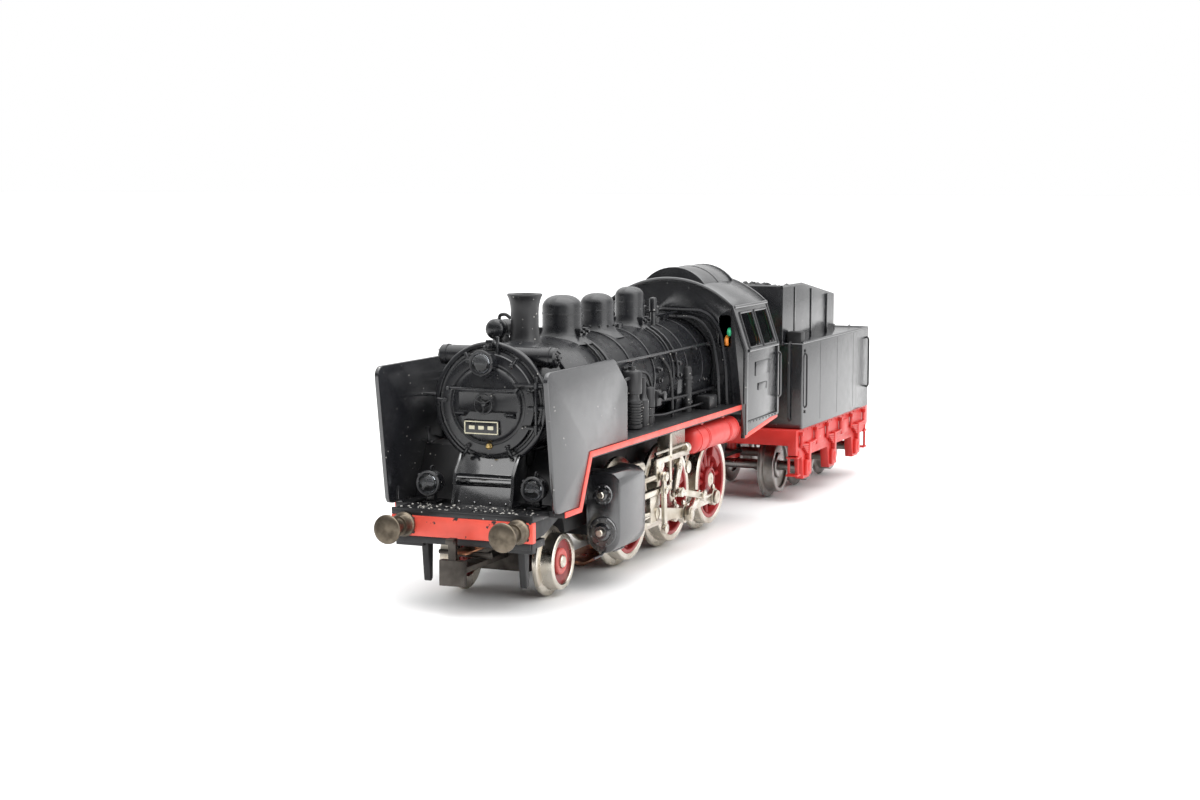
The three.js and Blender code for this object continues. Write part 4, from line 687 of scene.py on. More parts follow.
def makeBoilerSides():
    # rails, pumps, pipes and lagging fittings down both flanks
    rails = []
    for side in (1, -1):
        railY = side * 9.55
        rails.append(pipe([at(-10.8, railY, 36.6), at(-74.9, railY, 36.6)], 0.23))
        for x in (-12, -22, -33, -44, -55, -66, -74):
            rails.append(turned([(0.2, 0), (0.2, 1.3), (0.34, 1.4), (0.34, 2.0), (0.2, 2.1)],
                                boilerPoint(x, 90 - side * 62, 8.2), across * side, 8))
    complete(together(*rails), "boiler_handrails", "root", blackPaint)
    left = []
    cylinder = [(1.5, 24.3), (1.9, 24.6), (1.9, 25.2), (1.6, 25.4)]
    for rib in range(8):  # cooling ribs
        z = 25.6 + rib * 0.5
        cylinder += [(1.6, z), (1.92, z + 0.08), (1.92, z + 0.24), (1.6, z + 0.32)]
    cylinder += [(1.35, 29.9), (1.35, 30.6), (1.75, 30.7), (1.85, 31.0), (1.85, 34.3), (1.6, 34.7),
                 (0.7, 35.0),
                 (0.7, 35.5), (0, 35.6)]
    left.append(turned(cylinder, at(-31, 9.9, 0), upward, 28))
    left.append(turned([(1.1, 24.3), (1.1, 29.2), (0.9, 29.4), (0.6, 30.4), (0.6, 33.2), (0, 33.3)],
                       at(-35.0, 10.4, 0), upward, 20))
    left.append(turned([(0.9, 24.3), (0.9, 27.4), (1.2, 27.6), (1.2, 30.8), (0.9, 31.2), (0, 31.4)],
                       at(-38.6, 10.1, 0), upward, 20))
    left.append(block((-42.6, 9.0, 27.4), (-40.2, 11.2, 30.4), 0.3))
    left.append(turned([(0.5, 0), (0.5, 0.8), (0.8, 0.9), (0.8, 1.3), (0.4, 1.4)], at(-41.4, 11.0, 29.4),
                       across, 12))
    for start, drop in (((-30.2, 8.6, 35.2), 1), ((-36.4, 8.8, 34.2), 2), ((-33.4, 8.9, 33.4), 3)):
        x, y, z = start
        left.append(pipe([at(x, y, z), at(x - 1.4 * drop, y + 0.9, z - 0.6),
                          at(x - 2.2 * drop, y + 1.3, z - 4),
                          at(x - 2.4 * drop, y + 1.3, 24.4)], 0.26, 0.9))
    left.append(pipe([at(-29.0, 10.2, 33.6), at(-26.5, 10.2, 33.4), at(-24.5, 9.9, 31.0), at(-18, 9.9, 29.6),
                      at(-16, 9.9, 26), at(-16, 10.0, 24.3)], 0.32, 1.2))
    left.append(pipe([at(-41.6, 10.2, 28.4), at(-46, 10.0, 28.0), at(-56, 9.6, 27.6), at(-74.8, 9.6, 27.6)],
                     0.3, 1.0))
    left.append(pipe([at(-30.5, 10.6, 26.6), at(-44, 10.9, 25.6), at(-58, 10.9, 25.6), at(-66, 10.9, 25.6)],
                     0.22, 1.0))
    left.append(turned([(1.0, 24.3), (1.0, 32.6), (0.8, 33.0), (0, 33.1)], at(-61, 9.1, 0), upward, 20))
    left.append(turned([(1.2, 26.0), (1.2, 26.5)], at(-61, 9.1, 0), upward, 20))
    left.append(turned([(1.2, 30.6), (1.2, 31.1)], at(-61, 9.1, 0), upward, 20))
    left.append(block((-69.5, 9.4, 24.3), (-65.0, 12.4, 27.0), 0.35))
    left.append(pipe([at(-49, 8.2, 36.0), at(-50.5, 9.6, 33.5), at(-51, 9.9, 30), at(-51, 10.0, 24.4)], 0.3,
                     1.0))
    for x, z in ((-20.5, 33.8), (-27.5, 30.5), (-46.5, 31.6), (-46.5, 33.6), (-56.5, 31.8), (-56.5, 34.0)):
        left.append(turned([(0.55, 0), (0.55, 0.5), (0.35, 0.6), (0.35, 1.0)],
                           at(x, math.sqrt(9.0 ** 2 - (z - 32.2) ** 2) - 0.2, z), across, 10))
    complete(together(*left), "left_side_pumps_and_pipes", "root", dustyPaint)
    right = []
    right.append(turned([(1.6, 24.3), (1.9, 24.6), (1.9, 28.6), (1.4, 28.8), (1.4, 29.8), (1.75, 30.0),
                         (1.75, 33.6),
                         (1.3, 34.1), (0.6, 34.4), (0, 34.5)], at(-37, -9.9, 0), upward, 28))
    right.append(turned([(1.1, 24.3), (1.1, 28.0), (0.8, 28.3), (0.8, 31.5), (0, 31.8)], at(-41, -10.3, 0),
                        upward, 20))
    right.append(pipe([at(-36.5, -8.8, 33.6), at(-30, -9.8, 32.4), at(-20, -10.0, 31.6), at(-16, -10.1, 28),
                       at(-16, -10.2, 24.3)], 0.36, 1.2))
    right.append(pipe([at(-42, -10.2, 27.6), at(-50, -9.9, 27.2), at(-74.8, -9.7, 27.2)], 0.3, 1.0))
    right.append(pipe([at(-46, -8.0, 36.2), at(-47.5, -9.6, 33.5), at(-48, -10.0, 29),
                       at(-48, -10.0, 24.4)], 0.28, 1))
    right.append(block((-58.5, -12.2, 24.3), (-53.0, -9.4, 27.2), 0.35))
    right.append(block((-69.5, -12.4, 24.3), (-64.0, -9.4, 26.6), 0.35))
    for x, z in ((-20.5, 33.8), (-27.5, 30.5), (-44.0, 31.6), (-54.0, 33.2), (-61.0, 31.8)):
        right.append(turned([(0.55, 0), (0.55, 0.5), (0.35, 0.6), (0.35, 1.0)],
                            at(x, 0.2 - math.sqrt(9.0 ** 2 - (z - 32.2) ** 2), z), across * -1, 10))
    complete(together(*right), "right_side_pumps_and_pipes", "root", dustyPaint)


makeBoiler()
makeChimney()
makeDomes()
makeTopFittings()
makeBoilerSides()
print("boiler and its fittings made")

# smokebox front

door = {"base": 5.05, "axisZ": 32.2, "ring": 10.1, "edge": 8.3, "dish": 6.25, "dishRise": 1.05}


def doorPoint(x, degrees, radius):
    turn = math.radians(degrees)
    return at(x, radius * math.cos(turn), door["axisZ"] + radius * math.sin(turn))


def makeSmokeboxDoor():
    base = at(0, 0, door["axisZ"])
    outline = [(7.4, 2.1), (7.4, 4.95), (9.7, 5.05), (10.0, 5.1), (10.1, 5.25), (10.1, 5.75), (10.0, 5.95),
               (9.8, 6.1), (9.35, 6.15), (9.2, 6.05), (9.1, 5.85), (8.75, 5.85), (8.65, 6.1), (8.4, 6.2),
               (8.32, 6.5), (8.3, 6.75), (8.15, 6.95), (7.9, 7.02), (6.75, 7.08), (6.6, 7.2), (6.45, 7.22),
               (6.35, 7.1), (6.25, 7.1)]
    for step in range(1, 8):
        r = door["dish"] * math.cos(math.radians(step * 12))
        outline.append((r, 7.1 + door["dishRise"] * math.sin(math.radians(step * 12))))
    outline.append((0, 7.1 + door["dishRise"]))
    face = turned(outline, base, sides=96)
    recess = block((7.55, -5.0, 31.0), (10, 5.9, 34.2), 0.25)
    cutAway(face, recess)
    complete(face, "smokebox_door_and_ring", "root", blackPaint, ("smokebox_front",),
             angle=32)

    fittings = []
    for degrees in (177, 116, 56, -63, -117, 18):  # door dogs with their nuts
        radial = doorPoint(0, degrees, 1) - doorPoint(0, degrees, 0)
        start = doorPoint(7.0, degrees, 7.3)
        dog = turned([(0.26, 0), (0.3, 0.15), (0.3, 1.7), (0.22, 1.95), (0, 2.0)], start,
                     radial.normalized(), 10)
        nut = turned([(0.42, 0), (0.42, 0.35), (0.3, 0.45), (0.2, 0.5), (0.2, 0.8), (0, 0.85)],
                     doorPoint(7.1, degrees, 7.75), along, 6)
        fittings += [dog, nut]
    for z, inner, outer in ((35.6, 4.8, 9.9), (31.9, 7.2, 9.9), (28.7, 6.2, 9.5)):  # hinge straps
        fittings.append(block((7.0, inner, z - 0.28), (7.5, outer, z + 0.28), 0.12))
        fittings.append(turned([(0.42, z - 0.5), (0.42, z + 0.5)], at(7.5, 8.8, 0), upward, 12))
    fittings.append(turned([(0.2, 27.6), (0.26, 27.7), (0.26, 36.9), (0.2, 37.0)], at(7.5, 8.8, 0), upward,
                           12))
    for y in (-4.3, 4.5):  # little steps on the door
        fittings.append(sidePlate([(7.4, 30.0), (8.9, 30.75), (8.9, 31.0), (7.4, 31.0)], y - 0.85, y + 0.85,
                                  0.08))
    fittings.append(pipe([at(7.4, -6.3, 34.9), at(8.9, -6.1, 34.8), at(9.0, 5.8, 34.8), at(7.4, 6.0, 34.9)],
                         0.2, 0.5))
    for y in (-6.2, 5.9):
        fittings.append(turned([(0.34, 0), (0.34, 0.4), (0.28, 0.5)], at(8.75, y, 34.8), along, 10))
    fittings.append(block((6.2, 1.3, 40.6), (6.75, 1.75, 43.2), 0.1))
    fittings.append(block((5.2, -0.6, 41.2), (6.6, 0.6, 42.6), 0.12))
    complete(together(*fittings), "door_dogs_and_hinges", "root", blackPaint)

    # locking wheel: rim, boss and three arms
    centre = at(8.75, 0, 32.4)
    turns = [math.radians(a) for a in range(0, 360, 45)]
    section = [(1.55 + 0.17 * math.cos(a), 0.17 * math.sin(a)) for a in turns]
    rim = spunRing(section, centre, along, 40)
    hub = turned([(0.45, -0.9), (0.45, 0.1), (0.3, 0.25), (0, 0.3)], centre, along, 16)
    arms = [pipe([centre,
                  centre + Vector((0, math.cos(math.radians(a)), math.sin(math.radians(a)))) * 1.55 * mm],
                 0.13)
            for a in (30, 150, 270)]
    complete(together(rim, hub, *arms), "door_locking_wheel", "root", blackPaint)

    # plain plate in a thin cream border with three short cream bars, no lettering
    plateBack = block((7.6, -3.75, 27.3), (8.35, 2.6, 29.7), 0.12)
    complete(plateBack, "front_plate", "root", blackPaint)
    border = [block((8.3, -3.6, 29.38), (8.45, 2.45, 29.56), 0.04),
              block((8.3, -3.6, 27.44), (8.45, 2.45, 27.62), 0.04),
              block((8.3, -3.6, 27.44), (8.45, -3.42, 29.56), 0.04),
              block((8.3, 2.27, 27.44), (8.45, 2.45, 29.56), 0.04)]
    for middle in (-2.25, -0.58, 1.1):
        border.append(block((8.3, middle - 0.5, 28.2), (8.46, middle + 0.5, 28.8), 0.06))
    complete(together(*border), "front_plate_marks", "root", creamPaint)
    boss = turned([(0.55, 6.9), (0.55, 7.35), (0.4, 7.5), (0.4, 7.8), (0.2, 7.95), (0, 8.0)],
                  at(0, 0.3, 25.4), along, 14)
    complete(boss, "door_lower_stud", "root", brass)


makeSmokeboxDoor()
print("smokebox door made")

# lamps

lamps = {"lowerFace": 10.3, "lowerY": 9.4, "lowerZ": 19.2, "topFace": 9.6, "topZ": 39.1}


def makeLamp(name, faceX, y, z, lensNode):
    base = at(faceX, y, z)
    shell = [(0.9, -3.5), (1.35, -3.3), (1.75, -2.7), (1.92, -2.0), (1.92, -0.45), (2.08, -0.4),
             (2.12, -0.25),
             (2.12, -0.02), (2.0, 0.1), (1.8, 0.12), (1.66, 0.05), (1.6, -0.1), (1.55, -0.5), (1.25, -0.85),
             (0.7, -1.1),
             (0, -1.15)]
    housing = [turned(shell, base, sides=40)]
    housing.append(pipe([base + Vector((-2.2, 0, 1.8)) * mm, base + Vector((-2.2, 0, 2.6)) * mm,
                         base + Vector((-1.2, 0, 2.6)) * mm, base + Vector((-1.2, 0, 1.9)) * mm], 0.16, 0.2))
    for spot in (-50, 50, 180):
        turn = math.radians(spot)
        clip = base + Vector((-0.25, 2.1 * math.sin(turn), 2.1 * math.cos(turn))) * mm
        housing.append(turned([(0.2, -0.3), (0.2, 0.3), (0.1, 0.4)], clip, along, 8))
    if z < 30:
        housing.append(block((faceX - 2.4, y - 0.7, 15.7), (faceX - 1.0, y + 0.7, z - 1.6), 0.2))
        housing.append(block((faceX - 3.0, y - 1.2, 15.7), (faceX - 0.4, y + 1.2, 16.2), 0.12))
    complete(together(*housing), f"{name}_housing", "root", blackPaint)
    cup = turned([(1.5, -0.42), (1.5, -0.36), (1.2, -0.66), (0.7, -0.92), (0, -1.0)], base, sides=32)
    complete(cup, f"{name}_reflector", "root", darkMetal)
    glass = [(1.55, -0.2), (1.55, 0.0)]
    for angle in range(15, 90, 15):
        turn = math.radians(angle)
        glass.append((1.55 * math.cos(turn), 0.75 * math.sin(turn)))
    glass.append((0, 0.75))
    complete(turned(glass, base, sides=40), f"{name}_lens", "root", lampGlass, (lensNode,))


makeLamp("left_lamp", lamps["lowerFace"], lamps["lowerY"], lamps["lowerZ"], "lamp_lens_left")
makeLamp("right_lamp", lamps["lowerFace"], -lamps["lowerY"], lamps["lowerZ"], "lamp_lens_right")
makeLamp("top_lamp", lamps["topFace"], 0, lamps["topZ"], "lamp_lens_top")
print("lamps made")

# front platform, saddle steps, running boards and beam

boards = {"top": 24.4, "bottom": 23.2, "platform": 15.9, "halfWidth": 15.2, "platformHalf": 12.5,
          "frontX": 17.0}


grit = {"seed": 24, "count": 150, "pale": 80, "size": (0.09, 0.24), "x": (10.2, 16.4), "y": (-11.8, 11.8)}


def makeBoards():
    b = boards
    pieces, lines = [], []
    for side in (1, -1):
        inner, outer = side * 4.0, side * b["halfWidth"]
        walk = sidePlate([(-76, b["top"]), (0.4, b["top"]), (4.8, b["platform"]), (10.6, b["platform"]),
                          (10.6, 14.95), (3.9, 14.95), (-0.5, b["bottom"]), (-76, b["bottom"])],
                         min(inner, outer), max(inner, outer), 0.12)
        cut = block((3.0, -5.2, 14), (11, 5.2, 25), 0)
        cutAway(walk, cut)
        pieces.append(walk)
        low, high = sorted((side * 15.1, side * 15.32))
        stripe = sidePlate([(-76.0, 24.42), (0.42, 24.42), (4.83, 15.92), (10.6, 15.92), (10.6, 15.0),
                            (3.95, 15.0),
                            (-0.35, 23.45), (-76.0, 23.45)], low, high, 0.08)
        lines.append(stripe)
    complete(together(*pieces), "running_boards", "root", dustyPaint)
    complete(together(*lines), "board_edge_lines", "root", lineRed)
    platform = block((3.5, -b["platformHalf"], 14.98), (b["frontX"], b["platformHalf"], b["platform"]), 0.14)
    curb = block((16.55, -b["platformHalf"], 15.7), (b["frontX"], b["platformHalf"], 16.1), 0.1)
    complete(together(platform, curb), "front_platform", "root", dustyPaint)
    saddle = sidePlate([(-6.4, 15.0), (9.6, 15.0), (9.3, 16.1), (8.35, 18.9), (7.2, 19.2), (7.2, 20.0),
                        (8.75, 20.15),
                        (8.75, 20.6), (7.7, 20.8), (6.35, 23.4), (5.3, 24.6), (-6.4, 24.6)], -4.95, 4.95,
                       0.1)
    cheeks = [sidePlate([(4.6, 15.5), (9.9, 15.5), (9.0, 18.6), (8.9, 20.9), (6.7, 23.8), (5.1, 24.9),
                         (3.4, 24.9)],
                        *sorted((side * 4.9, side * 5.5)), 0.12) for side in (1, -1)]
    neck = block((-6.0, -5.5, 22.0), (4.4, 5.5, 26.5), 0.3)
    bolts = []
    for y in (-4.2, -1.4, 1.4, 4.2):
        bolts.append(turned([(0.22, 0), (0.22, 0.2), (0.12, 0.3)], at(9.25, y, 16.35), along, 6))
    complete(together(saddle, neck, *cheeks, *bolts), "saddle_steps", "root", stepPaint)
    crumbs = []
    spots = random.Random(grit["seed"])
    for i in range(grit["count"]):  # grit that has settled on the platform
        size = spots.uniform(*grit["size"])
        x, y = spots.uniform(*grit["x"]), spots.uniform(*grit["y"])
        selectNothing()
        bpy.ops.mesh.primitive_ico_sphere_add(subdivisions=1, radius=size * mm,
                                              location=at(x, y, 15.95 + size * 0.3))
        crumb = bpy.context.object
        crumb.scale = (1, spots.uniform(0.6, 1.4), spots.uniform(0.4, 0.8))
        crumb.rotation_euler = (0, 0, spots.uniform(0, 3))
        crumbs.append(settlePlace(crumb))
    pale = together(*crumbs[:grit["pale"]])
    dark = together(*crumbs[grit["pale"]:])
    complete(pale, "platform_pale_grit", "root", paleGrit)
    complete(dark, "platform_dark_grit", "root", frameBlack)


def makeBeam():
    beam = block((15.75, -12.5, 11.65), (17.05, 12.5, 15.0), 0.16)
    openEdit(beam)
    bpy.ops.mesh.select_all(action="SELECT")
    bpy.ops.mesh.subdivide(number_cuts=2)
    closeEdit()
    complete(beam, "front_beam", "root", beamRed, ("buffer_beam",))
    under = [block((11, -11.9, 10.5), (16.7, 11.9, 11.75), 0.14),
             block((14.9, -12.1, 9.9), (16.3, -7.2, 11.7), 0.12),
             block((14.9, 7.2, 9.9), (16.3, 12.1, 11.7), 0.12)]
    for side in (1, -1):
        low, high = sorted((side * 8.0, side * 9.2))
        under.append(sidePlate([(11.3, 3.9), (11.7, 3.45), (12.2, 3.5), (12.6, 6.2), (13.2, 11),
                                (11.0, 11)], low, high,
                               0.15))
        low, high = sorted((side * 6.6, side * 7.8))
        under.append(block((11, low, 11.4), (16.6, high, 14.95), 0.1))
        under.append(sidePlate([(4.6, 15.0), (15.8, 15.0), (15.8, 12.2), (12.5, 12.4)],
                               *sorted((side * 11.6, side * 12.4)), 0.1))
        for dy, dz in ((-1.5, -1.1), (1.5, -1.1), (-1.5, 1.1), (1.5, 1.1)):
            under.append(turned([(0.26, 0), (0.26, 0.2), (0.15, 0.32)],
                                at(17.0, side * 10.05 + dy * 1.05, 13.4 + dz), along, 6))
    complete(together(*under), "beam_underside_and_irons", "root", frameBlack)


def makeBuffer(name, body, direction, base, y, node):
    point = at(base, y, 13.5)
    axis = along * direction
    stem = turned([(1.95, 0.06), (2.0, 0.2), (2.0, 0.55), (1.85, 0.7), (1.75, 0.8), (1.7, 2.2), (1.6, 2.45),
                   (1.3, 2.5), (1.25, 2.6), (1.25, 5.0), (1.4, 5.3), (2.0, 5.55), (2.33, 5.75), (2.37, 5.95),
                   (2.34, 6.1), (2.2, 6.22), (1.7, 6.36), (1.1, 6.45), (0.5, 6.49), (0, 6.5)], point, axis,
                  48)
    complete(stem, name, body, bronze, (node,), angle=45)


makeBoards()
makeBeam()
for name, side in sides:
    makeBuffer(f"front_buffer_{name}", "root", 1, 17.0, side * 10.05, f"buffer_front_{name}")
print("platform, boards, beam and buffers made")

# smoke deflectors

shield = {"outer": 15.2, "thickness": 0.75, "bottom": 24.45, "foot": 15.95, "top": 38.7}


def makeDeflectors():
    s = shield
    corner = []
    for angle in range(-8, 91, 14):  # rounded front top corner
        turn = math.radians(angle)
        corner.append((15.7 + 1.6 * math.cos(turn), 37.1 + 1.6 * math.sin(turn)))
    outline = [(-16, s["bottom"]), (0.5, s["bottom"]), (4.75, s["foot"]), (12.6, s["foot"]), (13.7, 16.2),
               (14.2, 17.0),
               *corner, (-9.8, s["top"]), (-10.6, 38.4), (-15.5, 34.3), (-16, 33.4)]
    for name, side in sides:
        low, high = sorted((side * s["outer"], side * (s["outer"] - s["thickness"])))
        sheet = sidePlate(outline, low, high, 0.16)
        extras = [sheet]
        for x, z in ((0.5, 32.7), (-12.0, 34.6)):
            rod = turned([(0.3, -0.2), (0.3, 5.4), (0.45, 5.5), (0.45, 5.75)], at(x, side * 9.3, z),
                         across * side, 14)
            extras.append(rod)
        for x in (-13, -6, 0, 11):
            foot = 24.5 if x < 3 else 16.0
            low, high = sorted((side * 14.5, side * 13.5))
            extras.append(block((x - 0.5, low, foot), (x + 0.5, high, foot + 0.35), 0.08))
            extras.append(block((x - 0.3, side * 14.5, foot),
                                (x + 0.3, side * 14.2, foot + 2.6), 0.08))
        complete(together(*extras), f"smoke_deflector_{name}", "root", boardPaint,
                 (f"deflector_{name}",))


makeDeflectors()
print("deflectors made")

# cab

cab = {"front": -75.5, "rear": -96.2, "half": 16.0, "waist": 35.0, "eaveHalf": 13.2, "eave": 43.6,
       "roof": 48.8,
       "wall": 0.9, "sill": 17.6, "windows": ((-85.6, -78.4), (-94.4, -87.0)), "glassZ": (35.4, 42.2)}


def roofLine(half, eaveZ, topZ, steps, sag=0.0):
    # points of an arch from +half to -half
    rise = topZ - eaveZ
    radius = (half ** 2 + rise ** 2) / (2 * rise)
    spreadAngle = math.asin(half / radius)
    line = []
    for step in range(steps + 1):
        turn = spreadAngle - 2 * spreadAngle * step / steps
        line.append((radius * math.sin(turn), topZ - radius + radius * math.cos(turn) - sag))
    return line


def cabLine(inset, bottom):
    c = cab
    half, eaveHalf = c["half"] - inset, c["eaveHalf"] - inset
    return [(half, bottom), (half, c["waist"]),
            *roofLine(eaveHalf, c["eave"] - inset * 0.5, c["roof"] - inset, 20),
            (-half, c["waist"]), (-half, bottom)]


def windowFrame(corners, width, yOf, rise):
    # a raised bead round an opening in a leaning side wall
    bars = []
    for (xa, za), (xb, zb) in zip(corners, corners[1:] + corners[:1]):
        bars.append(pipe([at(xa, yOf(za) + rise, za), at(xb, yOf(zb) + rise, zb)], width))
    return bars


def makeCab():
    c = cab
    shell = crossPlate(cabLine(0, c["sill"]), c["rear"], c["front"], 0)
    hollow = crossPlate(cabLine(c["wall"], 10), c["rear"] - 1, c["front"] - c["wall"], 0)
    tools = [hollow, block((c["front"] - 2, -15.1, 10), (c["front"] + 1, 15.1, 23.25), 0),
             sidePlate([(-74, 10), (-74, 17.6), (-98, 20.2), (-98, 10)], -20, 20, 0)]
    low, high = c["glassZ"]
    for xa, xb in c["windows"]:
        for side in (1, -1):
            tools.append(block((xa, side * 10, low), (xb, side * 20, high), 0.9))
    for side in (1, -1):
        near, far = sorted((side * 10.4, side * 12.9))
        tools.append(block((c["front"] - 2, near, 35.6), (c["front"] + 1, far, 41.9), 0.6))
    barrel = turned([(8.95, c["front"] - 2), (8.95, c["front"] + 1)], at(0, 0, 32.2), along, 64)
    tools.append(barrel)
    cutAway(shell, *tools)
    softenEdges(shell, 0.14, 2)
    complete(shell, "cab_shell", "root", cabPaint)

    trim = []
    # rim round the front of the cab roof and walls
    front = [at(c["front"] + 0.05, y, z) for y, z in cabLine(0.05, 24.6)]
    rear = [at(c["rear"], y, z) for y, z in cabLine(0.1, 22)]
    trim.append(pipe(front, 0.42, 0))
    trim.append(pipe(rear, 0.3, 0))
    # roof ventilator: raised arch with end lips and a slide line
    vent = crossPlate(roofLine(6.6, 47.3, 50.9, 16), -95.2, -78.0, 0)
    softenEdges(vent, 0.35, 3)
    lip = crossPlate(roofLine(6.9, 47.2, 51.0, 16), -78.6, -77.9, 0.1)
    lipBack = crossPlate(roofLine(6.9, 47.2, 51.0, 16), -95.4, -94.8, 0.1)
    middle = crossPlate(roofLine(6.75, 47.3, 51.0, 16), -87.0, -86.4, 0.1)
    inside = crossPlate(roofLine(c["eaveHalf"] - 1.2, c["eave"] - 0.6, c["roof"] - 1.2, 16), -97, -70, 0)
    cutAway(vent, inside)
    complete(together(vent, lip, lipBack, middle), "roof_ventilator", "root", cabPaint)
    for side in (1, -1):
        def wallY(z, side=side):
            lean = max(0.0, z - c["waist"]) / (c["eave"] - c["waist"]) * (c["half"] - c["eaveHalf"])
            return side * (c["half"] - lean)
        for xa, xb in c["windows"]:
            corners = [(xa, low), (xb, low), (xb, high), (xa, high)]
            trim += windowFrame(corners, 0.24, wallY, 0)
        ledge = pipe([at(-77.2, wallY(34.9) + side * 0.1, 34.9), at(-95.6, wallY(34.9) + side * 0.1, 34.9)],
                     0.3)
        gutter = pipe([at(-76.0, wallY(43.5) + side * 0.15, 43.4),
                       at(-96.0, wallY(43.5) + side * 0.15, 43.4)], 0.34)
        trim += [ledge, gutter]
        for x in (-75.9, -95.9):  # grab rail at the doorway only, none at the front corner
            rail = [at(x, side * 15.9, 24.0), at(x, side * 16.65, 24.4), at(x, side * 16.65, 33.0),
                    at(x, side * 15.9, 33.4)]
            if x < -90:
                trim.append(pipe(rail, 0.22, 0.4))
        # blank raised panels below the windows
        y0, y1 = sorted((side * 15.95, side * 16.22))
        trim.append(block((-90.2, y0, 29.6), (-81.4, y1, 32.4), 0.1))
        trim.append(block((-88.4, y0, 26.6), (-83.2, y1, 28.0), 0.1))
        trim.append(block((-76.6, y0, 18.4), (-75.6, y1, 34.6), 0.1))
        trim.append(block((-96.1, y0, 20.6), (-95.2, y1, 34.6), 0.1))
        trim.append(block((-95.4, y0, 20.4), (-76.4, y1, 21.1), 0.1))
        for x in range(-94, -76, 2):  # rivets along the foot of the side sheet
            trim.append(turned([(0.2, -0.05), (0.18, 0.1), (0, 0.16)], at(x, side * 16.2, 20.75),
                               across * side, 6))
    complete(together(*trim), "cab_trim", "root", cabPaint)

    # red line under the cab side
    lines = []
    for side in (1, -1):
        y0, y1 = sorted((side * 15.2, side * 16.05))
        lines.append(sidePlate([(-75.6, 17.7), (-75.6, 18.6), (-95.9, 20.8), (-95.9, 19.9)], y0, y1, 0.08))
    complete(together(*lines), "cab_foot_lines", "root", lineRed)

    # what is inside: floor, backhead, gauges, pipes and seats
    inner = [block((-95.0, -15.0, 21.4), (-76.4, 15.0, 22.4), 0.15)]
    head = crossPlate([(6.5, 22.4), (6.9, 30), (6.9, 34.5), (4.9, 39.2), (0, 41.2), (-4.9, 39.2),
                       (-6.9, 34.5),
                       (-6.9, 30), (-6.5, 22.4)], -79.2, -76.5, 0.5)
    inner.append(head)
    for y, z in ((-4.6, 37.4), (-2.6, 38.6), (-5.4, 34.8), (2.8, 38.4)):
        inner.append(turned([(0.95, 79.1), (0.95, 79.8), (0.8, 79.95), (0.7, 79.8)], at(0, y, z),
                            along * -1, 16))
    inner.append(turned([(1.9, 79.1), (1.9, 79.6), (1.6, 79.9)], at(0, 0, 27.2), along * -1, 20))
    inner.append(pipe([at(-79.4, 0, 37.2), at(-80.6, 0, 37.2), at(-80.8, -3.4, 36.2)], 0.3, 0.5))
    inner.append(pipe([at(-79.4, -5.9, 31.8), at(-80.6, -5.9, 31.8), at(-80.6, -5.9, 24)], 0.22, 0.5))
    for y in (-12.8, 12.8):
        inner.append(block((-88.6, y - 1.8, 25.6), (-84.8, y + 1.8, 26.5), 0.3))
        inner.append(turned([(0.7, 22.3), (0.5, 22.6), (0.5, 25.7)], at(-86.7, y, 0), upward, 12))
    complete(together(*inner), "cab_interior", "root", frameBlack)


def makeCabFront():
    # twin pipes over the boiler back and down the front wall, and the slack of the two leads in the window
    runs = []
    for x, inset in ((-74.2, 0.0), (-73.2, 1.3)):
        runs.append(pipe([at(-66.0, -2.0, 42.6 - inset), at(x, -2.0, 42.9 - inset),
                          at(x, 8.3 - inset, 42.7 - inset),
                          at(x, 11.2 - inset, 39.0 - inset), at(x, 12.4 - inset, 31.0),
                          at(x, 12.6 - inset, 24.4)],
                         0.36, 1.8))
    complete(together(*runs), "cab_front_pipes", "root", blackPaint)
    orange = pipe([at(-79.5, 11.2, 37.3), at(-76.4, 11.9, 37.6), at(-75.1, 12.1, 37.0),
                   at(-75.3, 12.1, 36.3),
                   at(-77.0, 11.8, 36.1), at(-79.3, 11.0, 36.4)], 0.42, 0.8)
    complete(orange, "orange_lead_loop", "root", orangeLead)
    green = pipe([at(-81.0, 10.4, 38.6), at(-77.0, 12.2, 39.2), at(-75.2, 12.6, 38.8), at(-75.3, 12.6, 38.2),
                  at(-77.0, 12.2, 37.9), at(-80.6, 10.6, 37.9)], 0.4, 0.8)
    complete(green, "green_lead_loop", "root", greenLead)


makeCab()
makeCabFront()
print("cab made")

# wheels

driver = {"tread": 8.6, "flange": 9.8, "back": 7.0, "face": 10.3, "bore": 7.35, "spokes": 12, "crank": 3.8,
          "angles": {"left": -49.7, "right": 40.3}, "z": 9.8}


def wheelCentre(node):
    low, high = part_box(node)
    return Vector(((low.x + high.x) / 2, 0, (low.z + high.z) / 2))


def bodyOf(node):
    return frame["nodes"][node]["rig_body"]


def makeTyre(tread, flange, bore, back, face):
    # section of a railway tyre: flange at the back, coned tread, rounded edges; made at the origin
    section = [(bore, back), (flange - 0.45, back), (flange - 0.1, back + 0.2), (flange, back + 0.5),
               (flange - 0.12, back + 0.85), (flange - 0.5, back + 1.05), (tread + 0.08, back + 1.2),
               (tread, back + 1.4), (tread - 0.04, face - 0.15), (tread - 0.2, face), (bore + 0.15, face),
               (bore, face - 0.15)]
    return spunRing(section, Vector((0, 0, 0)), across, 72)


